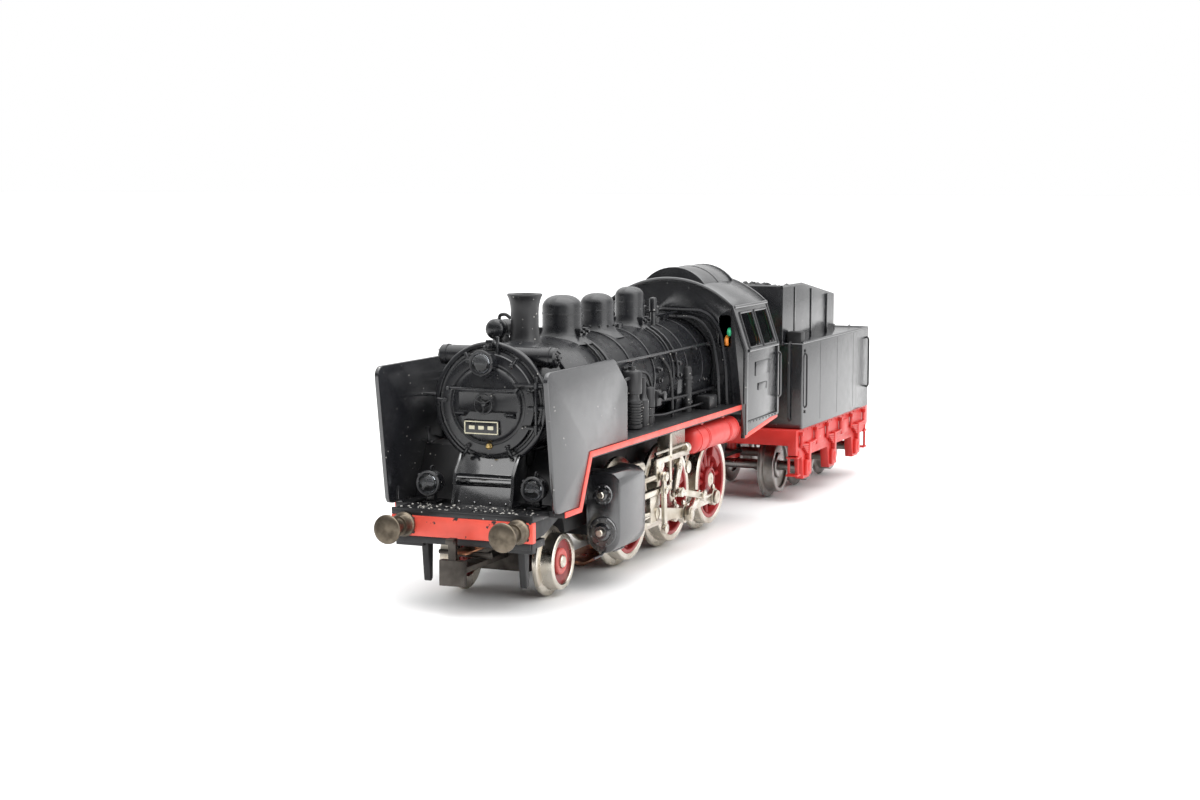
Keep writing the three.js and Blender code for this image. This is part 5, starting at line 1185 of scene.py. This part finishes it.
def makeDriverCentre(weightSpan):
    # made at the origin with its crank along +X, face towards +Y
    d = driver
    origin = Vector((0, 0, 0))
    rim = spunRing([(7.4, d["back"] + 0.5), (7.4, d["face"] - 0.12), (7.28, d["face"] - 0.02),
                    (6.75, d["face"] - 0.02),
                    (6.6, d["face"] - 0.2), (6.6, d["back"] + 0.5)], origin, across, 72)
    parts = [rim]
    hub = turned([(2.6, d["back"] + 0.3), (2.6, d["face"] - 0.35), (2.4, d["face"] - 0.1),
                  (1.95, d["face"] - 0.02),
                  (1.9, d["face"] - 0.25), (1.35, d["face"] - 0.25), (0, d["face"] - 0.2)], origin, across,
                 36)
    parts.append(hub)
    boss = turned([(1.75, d["back"] + 0.6), (1.75, d["face"] - 0.3), (1.55, d["face"] - 0.05),
                   (0.9, d["face"] - 0.03),
                   (0, d["face"] - 0.03)], Vector((d["crank"] * mm, 0, 0)), across, 28)
    parts.append(boss)
    web = plate([Vector((x * mm, (d["back"] + 0.7) * mm, z * mm)) for x, z in
                 ((0, 2.0), (d["crank"], 1.5), (d["crank"], -1.5), (0, -2.0))], across * 2.45 * mm, 0.15)
    parts.append(web)
    for number in range(d["spokes"]):
        turn = math.tau * (number + 0.5) / d["spokes"]
        spoke = turned([(0.62, 2.3), (0.5, 4.2), (0.46, 5.8), (0.62, 6.65)],
                       Vector((0, (d["back"] + 1.9) * mm, 0)),
                       Vector((math.cos(turn), 0, math.sin(turn))), 10)
        parts.append(spoke)
    outline = []
    for step in range(9):
        turn = math.pi + math.radians(-weightSpan + 2 * weightSpan * step / 8)
        outline.append(Vector((6.95 * math.cos(turn) * mm, (d["back"] + 0.9) * mm,
                               6.95 * math.sin(turn) * mm)))
    for step in range(7):
        turn = math.pi + math.radians(weightSpan - 2 * weightSpan * step / 6)
        outline.append(Vector((4.7 * math.cos(turn) * mm, (d["back"] + 0.9) * mm,
                               4.7 * math.sin(turn) * mm)))
    parts.append(plate(outline, across * 2.15 * mm, 0.15))
    return together(*parts)


def makeCrankPin(end, head):
    # pin and round head at the origin, crank along +X
    return turned([(0.8, driver["face"] - 0.2), (0.8, end), (1.25, end), (1.35, end + 0.08),
                   (1.35, end + head - 0.12),
                   (1.22, end + head), (0.55, end + head), (0.5, end + head - 0.1), (0, end + head - 0.1)],
                  Vector((driver["crank"] * mm, 0, 0)), across, 28)


def standWheel(piece, centre, side, angle):
    # turns a wheel part to its crank angle, mirrors it for the right side and moves it on to its axle
    makeActive(piece)
    bpy.ops.object.duplicate(linked=False)
    copy = bpy.context.object
    copy.rotation_euler = (0, -math.radians(angle), 0)
    settlePlace(copy)
    copy.scale = (1, side, 1)
    settlePlace(copy)
    if side < 0:
        faceOutwards(copy)
    copy.location = centre
    return settlePlace(copy)


def makeDrivers():
    d = driver
    tyre = makeTyre(d["tread"], d["flange"], d["bore"], d["back"], d["face"])
    light, heavy = makeDriverCentre(26), makeDriverCentre(34)
    endPin = makeCrankPin(12.15, 0.5)
    mainPin = turned([(0.8, d["face"] - 0.2), (0.8, 14.1)], Vector((d["crank"] * mm, 0, 0)), across, 24)
    softenEdges(mainPin, 0.05)
    axleCap = turned([(1.45, d["face"] - 0.4), (1.45, d["face"] - 0.12), (1.3, d["face"] + 0.0),
                      (0.5, d["face"] + 0.0),
                      (0.4, d["face"] - 0.15), (0, d["face"] - 0.15)], Vector((0, 0, 0)), across, 28)
    for name, side in sides:
        for number in (1, 2, 3):
            node = f"driver_wheel_{name}_{number}"
            centre, body = wheelCentre(node), bodyOf(node)
            angle = d["angles"][name]
            ring = standWheel(tyre, centre, side, 0)
            complete(ring, f"driver_tyre_{name}_{number}", body, nickel)
            source = heavy if number == 2 else light
            complete(standWheel(source, centre, side, angle), f"driver_centre_{name}_{number}", body,
                     wheelRed, (node,))
            pin = standWheel(mainPin if number == 2 else endPin, centre, side, angle)
            cap = standWheel(axleCap, centre, side, 0)
            complete(together(pin, cap), f"crank_pin_{name}_{number}", body, nickel)
    for spare in (tyre, light, heavy, endPin, mainPin, axleCap):
        bpy.data.objects.remove(spare)


def makePlainWheels():
    jobs = [("pony_wheelset", 4.7, 5.9, 1.05, "wheel_red")]
    jobs += [(f"tender_wheelset_{n}", 5.75, 6.95, 1.05, "nickel") for n in (1, 2, 3)]
    for node, tread, flange, axle, slotName in jobs:
        centre, body = wheelCentre(node), bodyOf(node)
        rim = tread - 1.0
        hub = tread * 0.47
        tyres, discs, hubs = [], [], []
        tyre = makeTyre(tread, flange, rim, 7.0, 10.3)
        disc = spunRing([(hub - 0.1, 7.9), (rim + 0.05, 7.6), (rim + 0.05, 9.75), (hub + 0.3, 9.55),
                         (hub - 0.1, 9.5)],
                        Vector((0, 0, 0)), across, 56)
        ring = spunRing([(axle, 7.2), (hub - 0.25, 7.2), (hub, 7.5), (hub, 9.85), (hub - 0.2, 10.05),
                         (axle + 0.25, 10.05),
                         (axle, 9.9)], Vector((0, 0, 0)), across, 48)
        for side in (1, -1):
            tyres.append(standWheel(tyre, centre, side, 0))
            discs.append(standWheel(disc, centre, side, 0))
            hubs.append(standWheel(ring, centre, side, 0))
        for spare in (tyre, disc, ring):
            bpy.data.objects.remove(spare)
        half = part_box(node)[1].y / mm
        bar = turned([(axle - 0.2, -half), (axle, -half + 0.2), (axle, half - 0.2), (axle - 0.2, half)],
                     centre, across, 24)
        rough = nodeFinishes["tender_wheelset"]
        dark = slotName == "nickel"
        complete(together(*tyres, bar), f"{node}_tyres_and_axle", body, rough if dark else nickel)
        # pony discs in the darker copy of the wheel red: painted shade
        complete(together(*discs), f"{node}_discs", body, rough if dark else ponyRedPaintedShade, (node,))
        # pony hubs in the lighter copy of the wheel red: painted highlight
        complete(together(*hubs), f"{node}_hubs", body, rough if dark else hubRedPaintedHighlight)


makeDrivers()
makePlainWheels()
print("wheels made")

# cylinders, rods and valve gear

gear = {"axleZ": 9.8, "cylinderX": (-20.0, -8.0), "cylinderY": (10.8, 17.0), "valveZ": 16.1}


def makeCylinder(name, side):
    xa, xb = gear["cylinderX"]
    inner, outer = gear["cylinderY"]
    middle, z = (inner + outer) / 2, gear["axleZ"]
    half = (outer - inner) / 2
    outline = []
    for step in range(17):  # rounded underside of the cylinder
        turn = math.pi + math.pi * step / 16
        outline.append((side * (middle + half * math.cos(turn)), z - 0.2 + (half + 0.35) * math.sin(turn)))
    outline += [(side * outer, z + 7.6), (side * (outer - 0.25), z + 9.0), (side * (outer - 1.1), z + 9.8),
                (side * (outer - 2.0), z + 10.0), (side * (inner + 1.6), z + 10.0),
                (side * (inner + 0.5), z + 9.4),
                (side * inner, z + 8.2)]
    body = crossPlate(outline, xa + 0.3, xb - 0.2, 0.22)
    bore = turned([(0.75, xa - 1), (0.75, xa + 10.0)], at(0, side * 14.65, z), along, 16)
    cutAway(body, bore)
    lug = block((xa + 1.5, side * 5.1, z + 4.2),
                (xb - 1.0, side * (inner + 0.5), z + 9.2), 0.2)
    covers = [body, lug]
    for cz, r in ((z, 2.55), (gear["valveZ"], 1.75)):
        covers.append(turned([(r, xb - 0.4), (r, xb + 0.0), (r - 0.15, xb + 0.18), (r * 0.62, xb + 0.2),
                              (r * 0.56, xb + 0.5), (r * 0.42, xb + 0.62), (r * 0.42, xb + 0.9)],
                             at(0, side * middle, cz), along, 36))
        for bolt in range(8):
            turn = math.tau * (bolt + 0.5) / 8
            covers.append(turned([(0.19, xb), (0.19, xb + 0.36), (0.1, xb + 0.44)],
                                 at(0, side * (middle + r * 0.82 * math.cos(turn)),
                                    cz + r * 0.82 * math.sin(turn)),
                                 along, 6))
    covers.append(block((xa + 0.1, side * (inner + 0.4), z + 6.0),
                        (xa + 0.6, side * (outer - 0.9), z + 9.3), 0.1))
    panelLow, panelHigh = sorted((side * (outer - 0.1), side * (outer - 0.02)))
    for x in (xa + 0.9, xb - 0.9):  # lagging strips
        covers.append(block((x - 0.3, panelLow, z + 0.4), (x + 0.3, panelHigh, z + 7.4), 0.03))
    covers.append(pipe([at(xb - 0.6, side * middle, z - 3.3), at(xb + 0.4, side * middle, z - 3.9),
                        at(xb + 2.6, side * (middle - 0.5), z - 4.1)], 0.22, 0.5))
    covers.append(pipe([at(xb - 9.6, side * middle, z - 3.3), at(xb - 9.4, side * middle, z - 4.1),
                        at(xb - 6.0, side * (middle - 0.5), z - 4.2)], 0.22, 0.5))
    complete(together(*covers), f"cylinder_block_{name}", "root", cabPaint,
             (f"cylinder_{name}",))
    tails = []
    for cz, reach in ((z, 1.7), (gear["valveZ"], 1.2)):
        tails.append(turned([(0.62, xb + 0.4), (0.62, xb + reach - 0.15), (0.5, xb + reach),
                             (0, xb + reach)],
                            at(0, side * middle, cz), along, 24))
    complete(together(*tails), f"piston_tail_rods_{name}", "root", nickel)


def pinHead(x, y, z, side, radius, height=0.3):
    return turned([(radius, 0), (radius + 0.04, 0.06), (radius + 0.04, height - 0.08),
                   (radius - 0.08, height),
                   (radius * 0.42, height), (radius * 0.38, height - 0.06), (0, height - 0.06)],
                  at(x, side * y, z),
                  across * side, 24)


def makeValveGear():
    for name, side in sides:
        angle = driver["angles"][name]
        centre = wheelCentre(f"driver_wheel_{name}_2")
        turn = math.radians(angle)
        crank = centre + Vector((math.cos(turn), 0, math.sin(turn))) * driver["crank"] * mm
        for node in ("coupling_rod", "connecting_rod", "eccentric_rod", "expansion_link",
                     "combination_lever",
                     "crosshead", "return_crank", "motion_bracket"):
            refined(f"{node}_{name}", f"{node}_{name}_polished", nickel, 0.09)
        # bosses and oil cups where the rods turn
        bosses = []
        for number in (1, 2, 3):
            axle = wheelCentre(f"driver_wheel_{name}_{number}")
            eye = axle + (crank - centre)
            eye.y = 0
            shape = turned([(1.62, 11.0), (1.68, 11.06), (1.68, 11.94), (1.58, 12.04), (1.45, 12.06)],
                           eye, across * side, 36)
            bosses.append(shape)
            bosses.append(turned([(0.42, 1.4), (0.42, 2.15), (0.3, 2.25), (0.22, 2.5)],
                                 eye + across * side * 11.5 * mm, upward, 12))
        complete(together(*bosses), f"coupling_rod_bosses_{name}", f"coupling_rod_{name}", nickel)
        big = Vector((crank.x, 0, crank.z))
        boss = turned([(1.7, 12.78), (1.76, 12.84), (1.76, 13.76), (1.66, 13.84), (1.3, 13.86)], big,
                      across * side, 36)
        cup = turned([(0.42, 1.5), (0.42, 2.2), (0.3, 2.3), (0.2, 2.55)], big + across * side * 13.3 * mm,
                     upward, 12)
        complete(together(boss, cup), f"connecting_rod_big_end_{name}", f"connecting_rod_{name}",
                 nickel)
        low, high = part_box(f"crosshead_{name}")
        pinX = (low.x / mm + 1.5) - ponyX / mm
        head = pinHead(pinX, 15.1, 9.8, side, 1.0, 0.32)
        complete(head, f"crosshead_pin_head_{name}", f"crosshead_{name}", nickel)
        low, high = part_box(f"combination_lever_{name}")
        middleX = ((low.x + high.x) / 2 - ponyX) / mm
        heads = [pinHead(middleX, 16.1, z, side, r, 0.34) for z,
                 r in ((16.1, 0.8), (high.z / mm - 3.4, 0.62), (6.8, 0.85))]
        complete(together(*heads), f"combination_lever_pins_{name}", f"combination_lever_{name}",
                 nickel)
        low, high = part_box(f"eccentric_rod_{name}")
        rear = (low.x / mm + 1.1 - ponyX / mm)
        front = (high.x / mm - 1.05 - ponyX / mm)
        frontZ = 12.1
        lowEye, highEye = low.z / mm + 1.1, high.z / mm - 1.1
        rearZ = lowEye if abs(lowEye - frontZ) > abs(highEye - frontZ) else highEye
        ends = [pinHead(rear, 15.9, rearZ, side, 0.95, 0.34), pinHead(front, 15.9, frontZ, side, 0.85, 0.34)]
        complete(together(*ends), f"eccentric_rod_pins_{name}", f"eccentric_rod_{name}", nickel)
        linkHeads = [pinHead(-42.3, 16.25, 16.5, side, 1.1, 0.4)]
        linkHeads.append(turned([(0.42, 0), (0.42, 4.2), (0.6, 4.3), (0.6, 4.9)],
                                at(-45.4, side * 14.5, 18.9), along, 16))
        linkHeads.append(pipe([at(-45.4, side * 14.9, 20.3), at(-29.7, side * 14.9, 20.3)], 0.26))
        linkHeads.append(turned([(0.75, 0), (0.95, 0.2), (0.95, 1.4), (0.75, 1.6)],
                                at(-46.2, side * 14.7, 19.6), along, 24))
        linkHeads.append(turned([(0.9, 0), (1.05, 0.15), (1.05, 8.6), (0.9, 8.8)],
                                at(-24.8, side * 14.0, 18.6), along, 28))
        for x, z in ((-30.0, 17.9), (-36.8, 14.6), (-36.8, 19.0)):
            linkHeads.append(turned([(0.3, 0), (0.3, 0.2), (0.18, 0.3)], at(x, side * 15.12, z),
                                    across * side, 6))
        complete(together(*linkHeads), f"link_pivot_and_reverser_{name}", "root", nickel)


def makeReservoir(name, side):
    y, z = side * 13.0, 20.0
    tank = turned([(1.0, -75.1), (1.6, -74.95), (2.1, -74.5), (2.4, -73.9), (2.5, -73.2), (2.5, -52.3),
                   (2.4, -51.5),
                   (2.1, -50.9), (1.6, -50.45), (1.0, -50.25), (0, -50.2)], at(0, y, z), along, 48)
    rings = [tank]
    for x in (-73.0, -69.3, -68.6, -57.3, -56.6, -52.6):
        rings.append(spunRing([(2.45, x - 0.22), (2.58, x - 0.2), (2.62, x), (2.58, x + 0.2),
                               (2.45, x + 0.22)],
                              at(0, y, z), along, 48))
    for x in (-57.0, -69.0):
        low, high = sorted((side * 12.2, side * 13.8))
        rings.append(block((x - 0.6, low, z + 2.0), (x + 0.6, high, 23.15), 0.12))
    complete(together(*rings), f"air_reservoir_tank_{name}", "root", redPaint,
             (f"air_reservoir_{name}",))


def makeUnderGear():
    refined("loco_frame", "engine_frame_block", frameBlack, 0.12)
    refined("pony_truck", "pony_truck_and_coupler", darkMetal, 0.1)
    refined("pickup_shoe", "pickup_shoe_strip", copper, 0.06)
    refined("drawbar", "drawbar_plate", darkMetal, 0.08)
    refined("rear_coupler", "rear_coupler_bail", darkMetal, 0.1)
    refined("pony_pivot_screw", "pony_screw", steel, 0.06)
    refined("motor_field", "motor_field_stack", steel, 0.1)
    refined("motor_armature", "armature_windings", copper, 0.08)
    refined("idler_gear", "idler_gear_brass", brass, 0.05)
    refined("brush_plate", "brush_plate_moulding", greyPlastic, 0.08)
    refined("headlamp_bulb", "headlamp_bulb_glass", bulbGlass, 0.05)
    for number in (1, 2, 3):
        refined(f"driver_axle_{number}", f"driver_axle_{number}_turned", nickel, 0.05)
    # brake shoes and hangers beside the coupled wheels
    shoes = []
    for number in (1, 2, 3):
        centre = wheelCentre(f"driver_wheel_left_{number}")
        x = (centre.x - ponyX) / mm
        for side in (1, -1):
            outline = []
            for step in range(7):
                turn = math.radians(28 - 9.3 * step)
                outline.append((x + 9.95 * math.cos(turn), 9.8 + 9.95 * math.sin(turn)))
            for step in range(7):
                turn = math.radians(-28 + 9.3 * step)
                outline.append((x + 10.55 * math.cos(turn), 9.8 + 10.55 * math.sin(turn)))
            low, high = sorted((side * 7.2, side * 8.4))
            shoes.append(sidePlate(outline, low, high, 0.1))
            shoes.append(pipe([at(x + 10.3, side * 7.2, 13.5), at(x + 10.3, side * 5.1, 17.5),
                               at(x + 10.3, side * 4.8, 18.2)], 0.3, 0.4))
    complete(together(*shoes), "brake_shoes", "root", frameBlack)
    # red brown arm and hooked tab of the front coupler
    tab = [block((19.7, -0.65, 8.6), (20.2, 0.65, 12.2), 0.1),
           block((19.7, -0.65, 11.9), (20.9, 0.65, 12.35), 0.1),
           pipe([at(15.6, -4.6, 9.2), at(15.6, 4.6, 9.2)], 0.35),
           pipe([at(13.2, -3.6, 8.4), at(13.2, 3.6, 8.4)], 0.3)]
    complete(together(*tab), "coupler_tab_and_bar", "pony_truck", darkMetal)
    arm = block((7.0, -1.5, 9.35), (18.4, 1.5, 9.75), 0.1)
    spring = pipe([at(4.0, 1.2, 10.2), at(10.0, 2.4, 10.3), at(15.0, 1.6, 10.1)], 0.22, 1.5)
    complete(together(arm, spring), "coupler_spring_strip", "pony_truck", copper)


for name, side in sides:
    makeCylinder(name, side)
    makeReservoir(name, side)
makeValveGear()
makeUnderGear()
print("cylinders, valve gear and running gear made")

# tender

tender = {"rear": -163.1, "front": -111.5, "half": 16.5, "deck": 33.8, "floor": 15.6, "bunkerHalf": 12.5,
          "bunkerRear": -148.0, "bunkerFront": -110.0, "axles": (-116.5, -135.6, -154.7), "axleZ": 6.95}


def makeTank():
    t = tender
    tank = block((t["rear"], -t["half"], t["floor"]), (t["front"], t["half"], t["deck"]), 0)
    hollow = block((t["rear"] + 1, -t["half"] + 1, t["floor"] - 1),
                   (t["front"] - 1, t["half"] - 1, t["deck"] - 1), 0)
    cutAway(tank, hollow)
    softenEdges(tank, 0.3, 3)
    trim = [tank]
    for name, side in sides:
        low, high = sorted((side * (t["half"] - 0.3), side * (t["half"] - 0.02)))
        trim.append(pipe([at(t["rear"] + 0.3, side * (t["half"] - 0.25), t["deck"]),
                          at(t["front"] - 0.3, side * (t["half"] - 0.25), t["deck"])], 0.27))
        trim.append(block((t["rear"] + 0.1, low, t["floor"]), (t["front"] - 0.1, high, t["floor"] + 0.9),
                          0.1))
        for x in (-124.4, -137.3, -150.2):  # upright seams of the side sheets
            trim.append(block((x - 0.12, side * (t["half"] - 0.1), t["floor"] + 0.9),
                              (x + 0.12, side * (t["half"] + 0.0), t["deck"] - 0.4), 0.03))
    trim.append(pipe([at(t["rear"] + 0.25, -t["half"] + 0.3, t["deck"]),
                      at(t["rear"] + 0.25, t["half"] - 0.3, t["deck"])], 0.27))
    complete(together(*trim), "tender_tank", "tender", cabPaint, ("tender_body",))

    side1 = [(t["bunkerRear"], t["deck"] - 0.4), (t["bunkerFront"], t["deck"] - 0.4),
             (t["bunkerFront"], 45.7),
             (-124, 45.7), (t["bunkerRear"], 42.2)]
    bunker = sidePlate(side1, -t["bunkerHalf"], t["bunkerHalf"], 0)
    hole = sidePlate([(t["bunkerRear"] + 0.8, 37.5), (t["bunkerFront"] - 0.8, 42.0),
                      (t["bunkerFront"] - 0.8, 50),
                      (t["bunkerRear"] + 0.8, 50)], -t["bunkerHalf"] + 0.8, t["bunkerHalf"] - 0.8, 0)
    cutAway(bunker, hole)
    softenEdges(bunker, 0.18, 2)
    extra = [bunker]
    rim = [(t["bunkerRear"], 42.2), (-124, 45.7), (t["bunkerFront"], 45.7)]
    for name, side in sides:
        y = side * (t["bunkerHalf"] - 0.35)
        extra.append(pipe([at(x, y, z) for x, z in rim], 0.32, 0))
        for x in (-118, -130, -142):  # stiffening ribs of the bunker side
            top = 45.4 if x > -124 else 45.7 - (-124 - x) * 0.146 - 0.3
            low, high = sorted((side * t["bunkerHalf"], side * (t["bunkerHalf"] + 0.22)))
            extra.append(block((x - 0.35, low, t["deck"] - 0.1), (x + 0.35, high, top), 0.08))
    for x in (t["bunkerRear"] + 0.3, t["bunkerFront"] - 0.3):
        z = 42.2 if x < -140 else 45.7
        extra.append(pipe([at(x, -t["bunkerHalf"] + 0.3, z), at(x, t["bunkerHalf"] - 0.3, z)], 0.32))
    complete(together(*extra), "coal_bunker", "tender", cabPaint)

    fittings = []
    lid = block((-158, -4, t["deck"] - 0.2), (-151.5, 4, t["deck"] + 1.0), 0.3)
    fittings.append(lid)
    for y in (-2.4, 2.4):
        fittings.append(turned([(0.35, -0.35), (0.35, 0.35)], at(-158.1, y, t["deck"] + 0.8), across, 10))
        fittings.append(block((-157.8, y - 0.3, t["deck"] + 0.9), (-151.6, y + 0.3, t["deck"] + 1.15), 0.06))
    fittings.append(turned([(1.1, t["deck"] - 0.1), (1.1, t["deck"] + 0.7), (0.9, t["deck"] + 0.9),
                            (0.5, t["deck"] + 1.3),
                            (0, t["deck"] + 1.35)], at(-155, 9.5, 0), upward, 20))
    fittings.append(turned([(0.7, t["deck"] - 0.1), (0.7, t["deck"] + 1.6), (0, t["deck"] + 1.8)],
                           at(-160, -8.5, 0), upward, 16))
    for name, side in sides:
        # hand rails at the corners and the tool boxes behind the cab
        fittings.append(pipe([at(-113, side * 16.3, 20.0), at(-113, side * 16.95, 20.3),
                              at(-113, side * 16.95, 31.4),
                              at(-113, side * 16.3, 31.7)], 0.2, 0.4))
        fittings.append(pipe([at(-161.6, side * 16.3, 20.0), at(-161.6, side * 16.95, 20.3),
                              at(-161.6, side * 16.95, 31.4),
                              at(-161.6, side * 16.3, 31.7)], 0.2, 0.4))
        fittings.append(block((-114.6, side * 12.9, t["deck"] - 0.1),
                              (-111.8, side * 16.0, t["deck"] + 2.4), 0.25))
        fittings.append(pipe([at(-111.2, side * 13.8, 17.4), at(-110.4, side * 13.8, 17.8),
                              at(-110.4, side * 13.8, 33.5),
                              at(-111.4, side * 13.8, 34.0)], 0.28, 0.5))
        fittings.append(pipe([at(-111.2, side * 9.6, 17.4), at(-110.4, side * 9.6, 17.8),
                              at(-110.4, side * 9.6, 33.0),
                              at(-111.2, side * 9.6, 33.4)], 0.22, 0.5))
        for z in (18.0, 31.0):
            fittings.append(turned([(0.34, 0), (0.34, 0.3)], at(-113, side * 16.45, z + 1.2), across * side,
                                   10))
    for z in (18.5, 21.5, 24.5, 27.5, 30.5):  # ladder up the rear sheet
        fittings.append(pipe([at(-163.1, 8.2, z), at(-163.8, 8.2, z), at(-163.8, 11.8, z),
                              at(-163.1, 11.8, z)], 0.2, 0.2))
    for y in (8.2, 11.8):
        fittings.append(pipe([at(-163.75, y, 16.8), at(-163.75, y, 33.4), at(-163.0, y, 34.2)], 0.22, 0.4))
    # front sheet of the tender: coal door and lockers
    fittings.append(block((-111.6, -4.2, 17.0), (-111.0, 4.2, 27.0), 0.2))
    for z in (19.5, 22.0, 24.5):
        fittings.append(block((-111.1, -3.9, z), (-110.7, 3.9, z + 0.5), 0.08))
    complete(together(*fittings), "tender_fittings", "tender", frameBlack)
    for name, side in sides:
        base = at(-163.0, side * 9.4 if side < 0 else side * 5.2, 20.0)
        shell = turned([(1.1, 0), (1.5, 0.3), (1.5, 1.4), (1.62, 1.5), (1.62, 1.75), (1.3, 1.8),
                        (1.25, 1.6), (0, 1.5)],
                       base, along * -1, 28)
        complete(shell, f"tail_lamp_{name}", "tender", blackPaint)
        glass = turned([(1.2, 1.62), (1.2, 1.75), (0.9, 1.95), (0.5, 2.08), (0, 2.1)], base, along * -1, 28)
        complete(glass, f"tail_lamp_glass_{name}", "tender", windowPlastic)


heapOfCoal = {"seed": 7, "lumps": 260, "size": (0.5, 1.15), "halfWidth": 10.6, "bedSeed": 4}


def makeCoal():
    t = tender
    lumps = []
    spots = random.Random(heapOfCoal["seed"])
    bed = sidePlate([(t["bunkerRear"] + 1, 38.0), (t["bunkerFront"] - 1, 42.4),
                     (t["bunkerFront"] - 1, 44.4), (-124, 44.9),
                     (-138, 43.2), (t["bunkerRear"] + 1, 40.2)], -11.55, 11.55, 0)
    openEdit(bed)
    bpy.ops.mesh.select_all(action="SELECT")
    bpy.ops.mesh.subdivide(number_cuts=5, fractal=0.6, seed=heapOfCoal["bedSeed"])
    closeEdit()
    lumps.append(bed)
    for i in range(heapOfCoal["lumps"]):
        x = spots.uniform(t["bunkerRear"] + 2.2, t["bunkerFront"] - 2.2)
        y = spots.uniform(-heapOfCoal["halfWidth"], heapOfCoal["halfWidth"])
        size = spots.uniform(*heapOfCoal["size"])
        hill = 44.3 if x > -124 else 44.6 - (-124 - x) * 0.19
        crown = 0.9 * (1 - (y / 11.5) ** 2)
        selectNothing()
        bpy.ops.mesh.primitive_ico_sphere_add(subdivisions=1, radius=size * mm,
                                              location=at(x, y, hill + crown - size * 0.2))
        lump = bpy.context.object
        lump.scale = (spots.uniform(0.8, 1.3), spots.uniform(0.7, 1.2), spots.uniform(0.5, 0.9))
        lump.rotation_euler = (spots.uniform(0, 3), spots.uniform(0, 3), spots.uniform(0, 3))
        lumps.append(lump)
    heap = settlePlace(together(*lumps))
    complete(heap, "coal_load", "tender", coal, angle=20)


def makeTenderFrame():
    refined("tender_frame", "tender_frame_plates", redPaint, 0.14)
    parts = []
    for side in (1, -1):
        for x in tender["axles"]:
            parts.append(block((x - 1.7, side * 15.9, 5.2), (x + 1.7, side * 16.7, 8.7), 0.3))
            parts.append(turned([(1.15, 0), (1.15, 0.25), (0.95, 0.4), (0.4, 0.45), (0, 0.45)],
                                at(x, side * 16.45, 6.95), across * side, 20))
            for leaf in range(5):  # leaf spring over the axle box
                half = 5.2 - leaf * 0.85
                z = 11.9 - leaf * 0.48
                low, high = sorted((side * 16.0, side * 16.75))
                parts.append(sidePlate([(x - half, z + 0.2), (x - half, z + 0.55), (x, z + 0.15),
                                        (x + half, z + 0.55),
                                        (x + half, z + 0.2), (x, z - 0.25)], low, high, 0.05))
            low, high = sorted((side * 15.9, side * 16.9))
            parts.append(block((x - 0.7, low, 8.6), (x + 0.7, high, 12.4), 0.12))
            for end in (-5.2, 5.2):
                parts.append(pipe([at(x + end, side * 16.4, 11.6), at(x + end, side * 16.4, 14.6)], 0.3))
                parts.append(block((x + end - 0.5, low, 14.2), (x + end + 0.5, high, 15.0), 0.1))
        for x in (-126.0, -145.1):
            low, high = sorted((side * 15.9, side * 16.3))
            parts.append(block((x - 2.6, low, 11.0), (x + 2.6, high, 14.2), 0.5))
        for x in range(-162, -110, 3):
            parts.append(turned([(0.2, -0.05), (0.18, 0.1), (0, 0.17)], at(x, side * 16.0, 15.0),
                                across * side, 6))
        for x in (-110.6, -162.6):  # steps
            low, high = sorted((side * 13.6, side * 16.2))
            parts.append(block((x - 1.2, low, 5.6), (x + 1.2, high, 6.0), 0.08))
            parts.append(block((x - 1.1, low, 9.4), (x + 1.1, high, 9.8), 0.08))
            parts.append(pipe([at(x, side * 13.9, 13), at(x, side * 13.9, 5.7)], 0.3))
            parts.append(pipe([at(x, side * 15.9, 11), at(x, side * 15.9, 5.7)], 0.3))
    complete(together(*parts), "tender_springs_and_axleboxes", "tender", redPaint)
    lines = []
    for y in (-5.6, 5.6):
        lines.append(pipe([at(-112, y, 12.4), at(-163, y, 12.4)], 0.35))
    lines.append(pipe([at(-164.6, 3.8, 12.8), at(-166.4, 3.8, 12.4), at(-166.9, 3.8, 10.2),
                       at(-166.2, 3.6, 8.9)], 0.42, 1.0))
    lines.append(pipe([at(-164.6, -3.8, 12.8), at(-166.4, -3.8, 12.4), at(-166.9, -3.8, 10.2),
                       at(-166.2, -3.6, 8.9)], 0.42, 1.0))
    complete(together(*lines), "tender_pipes", "tender", frameBlack)


makeTank()
makeCoal()
makeTenderFrame()
for name, side in sides:
    makeBuffer(f"rear_buffer_{name}", "tender", -1, -164.5, side * 10.05, f"buffer_rear_{name}")
print("tender made")
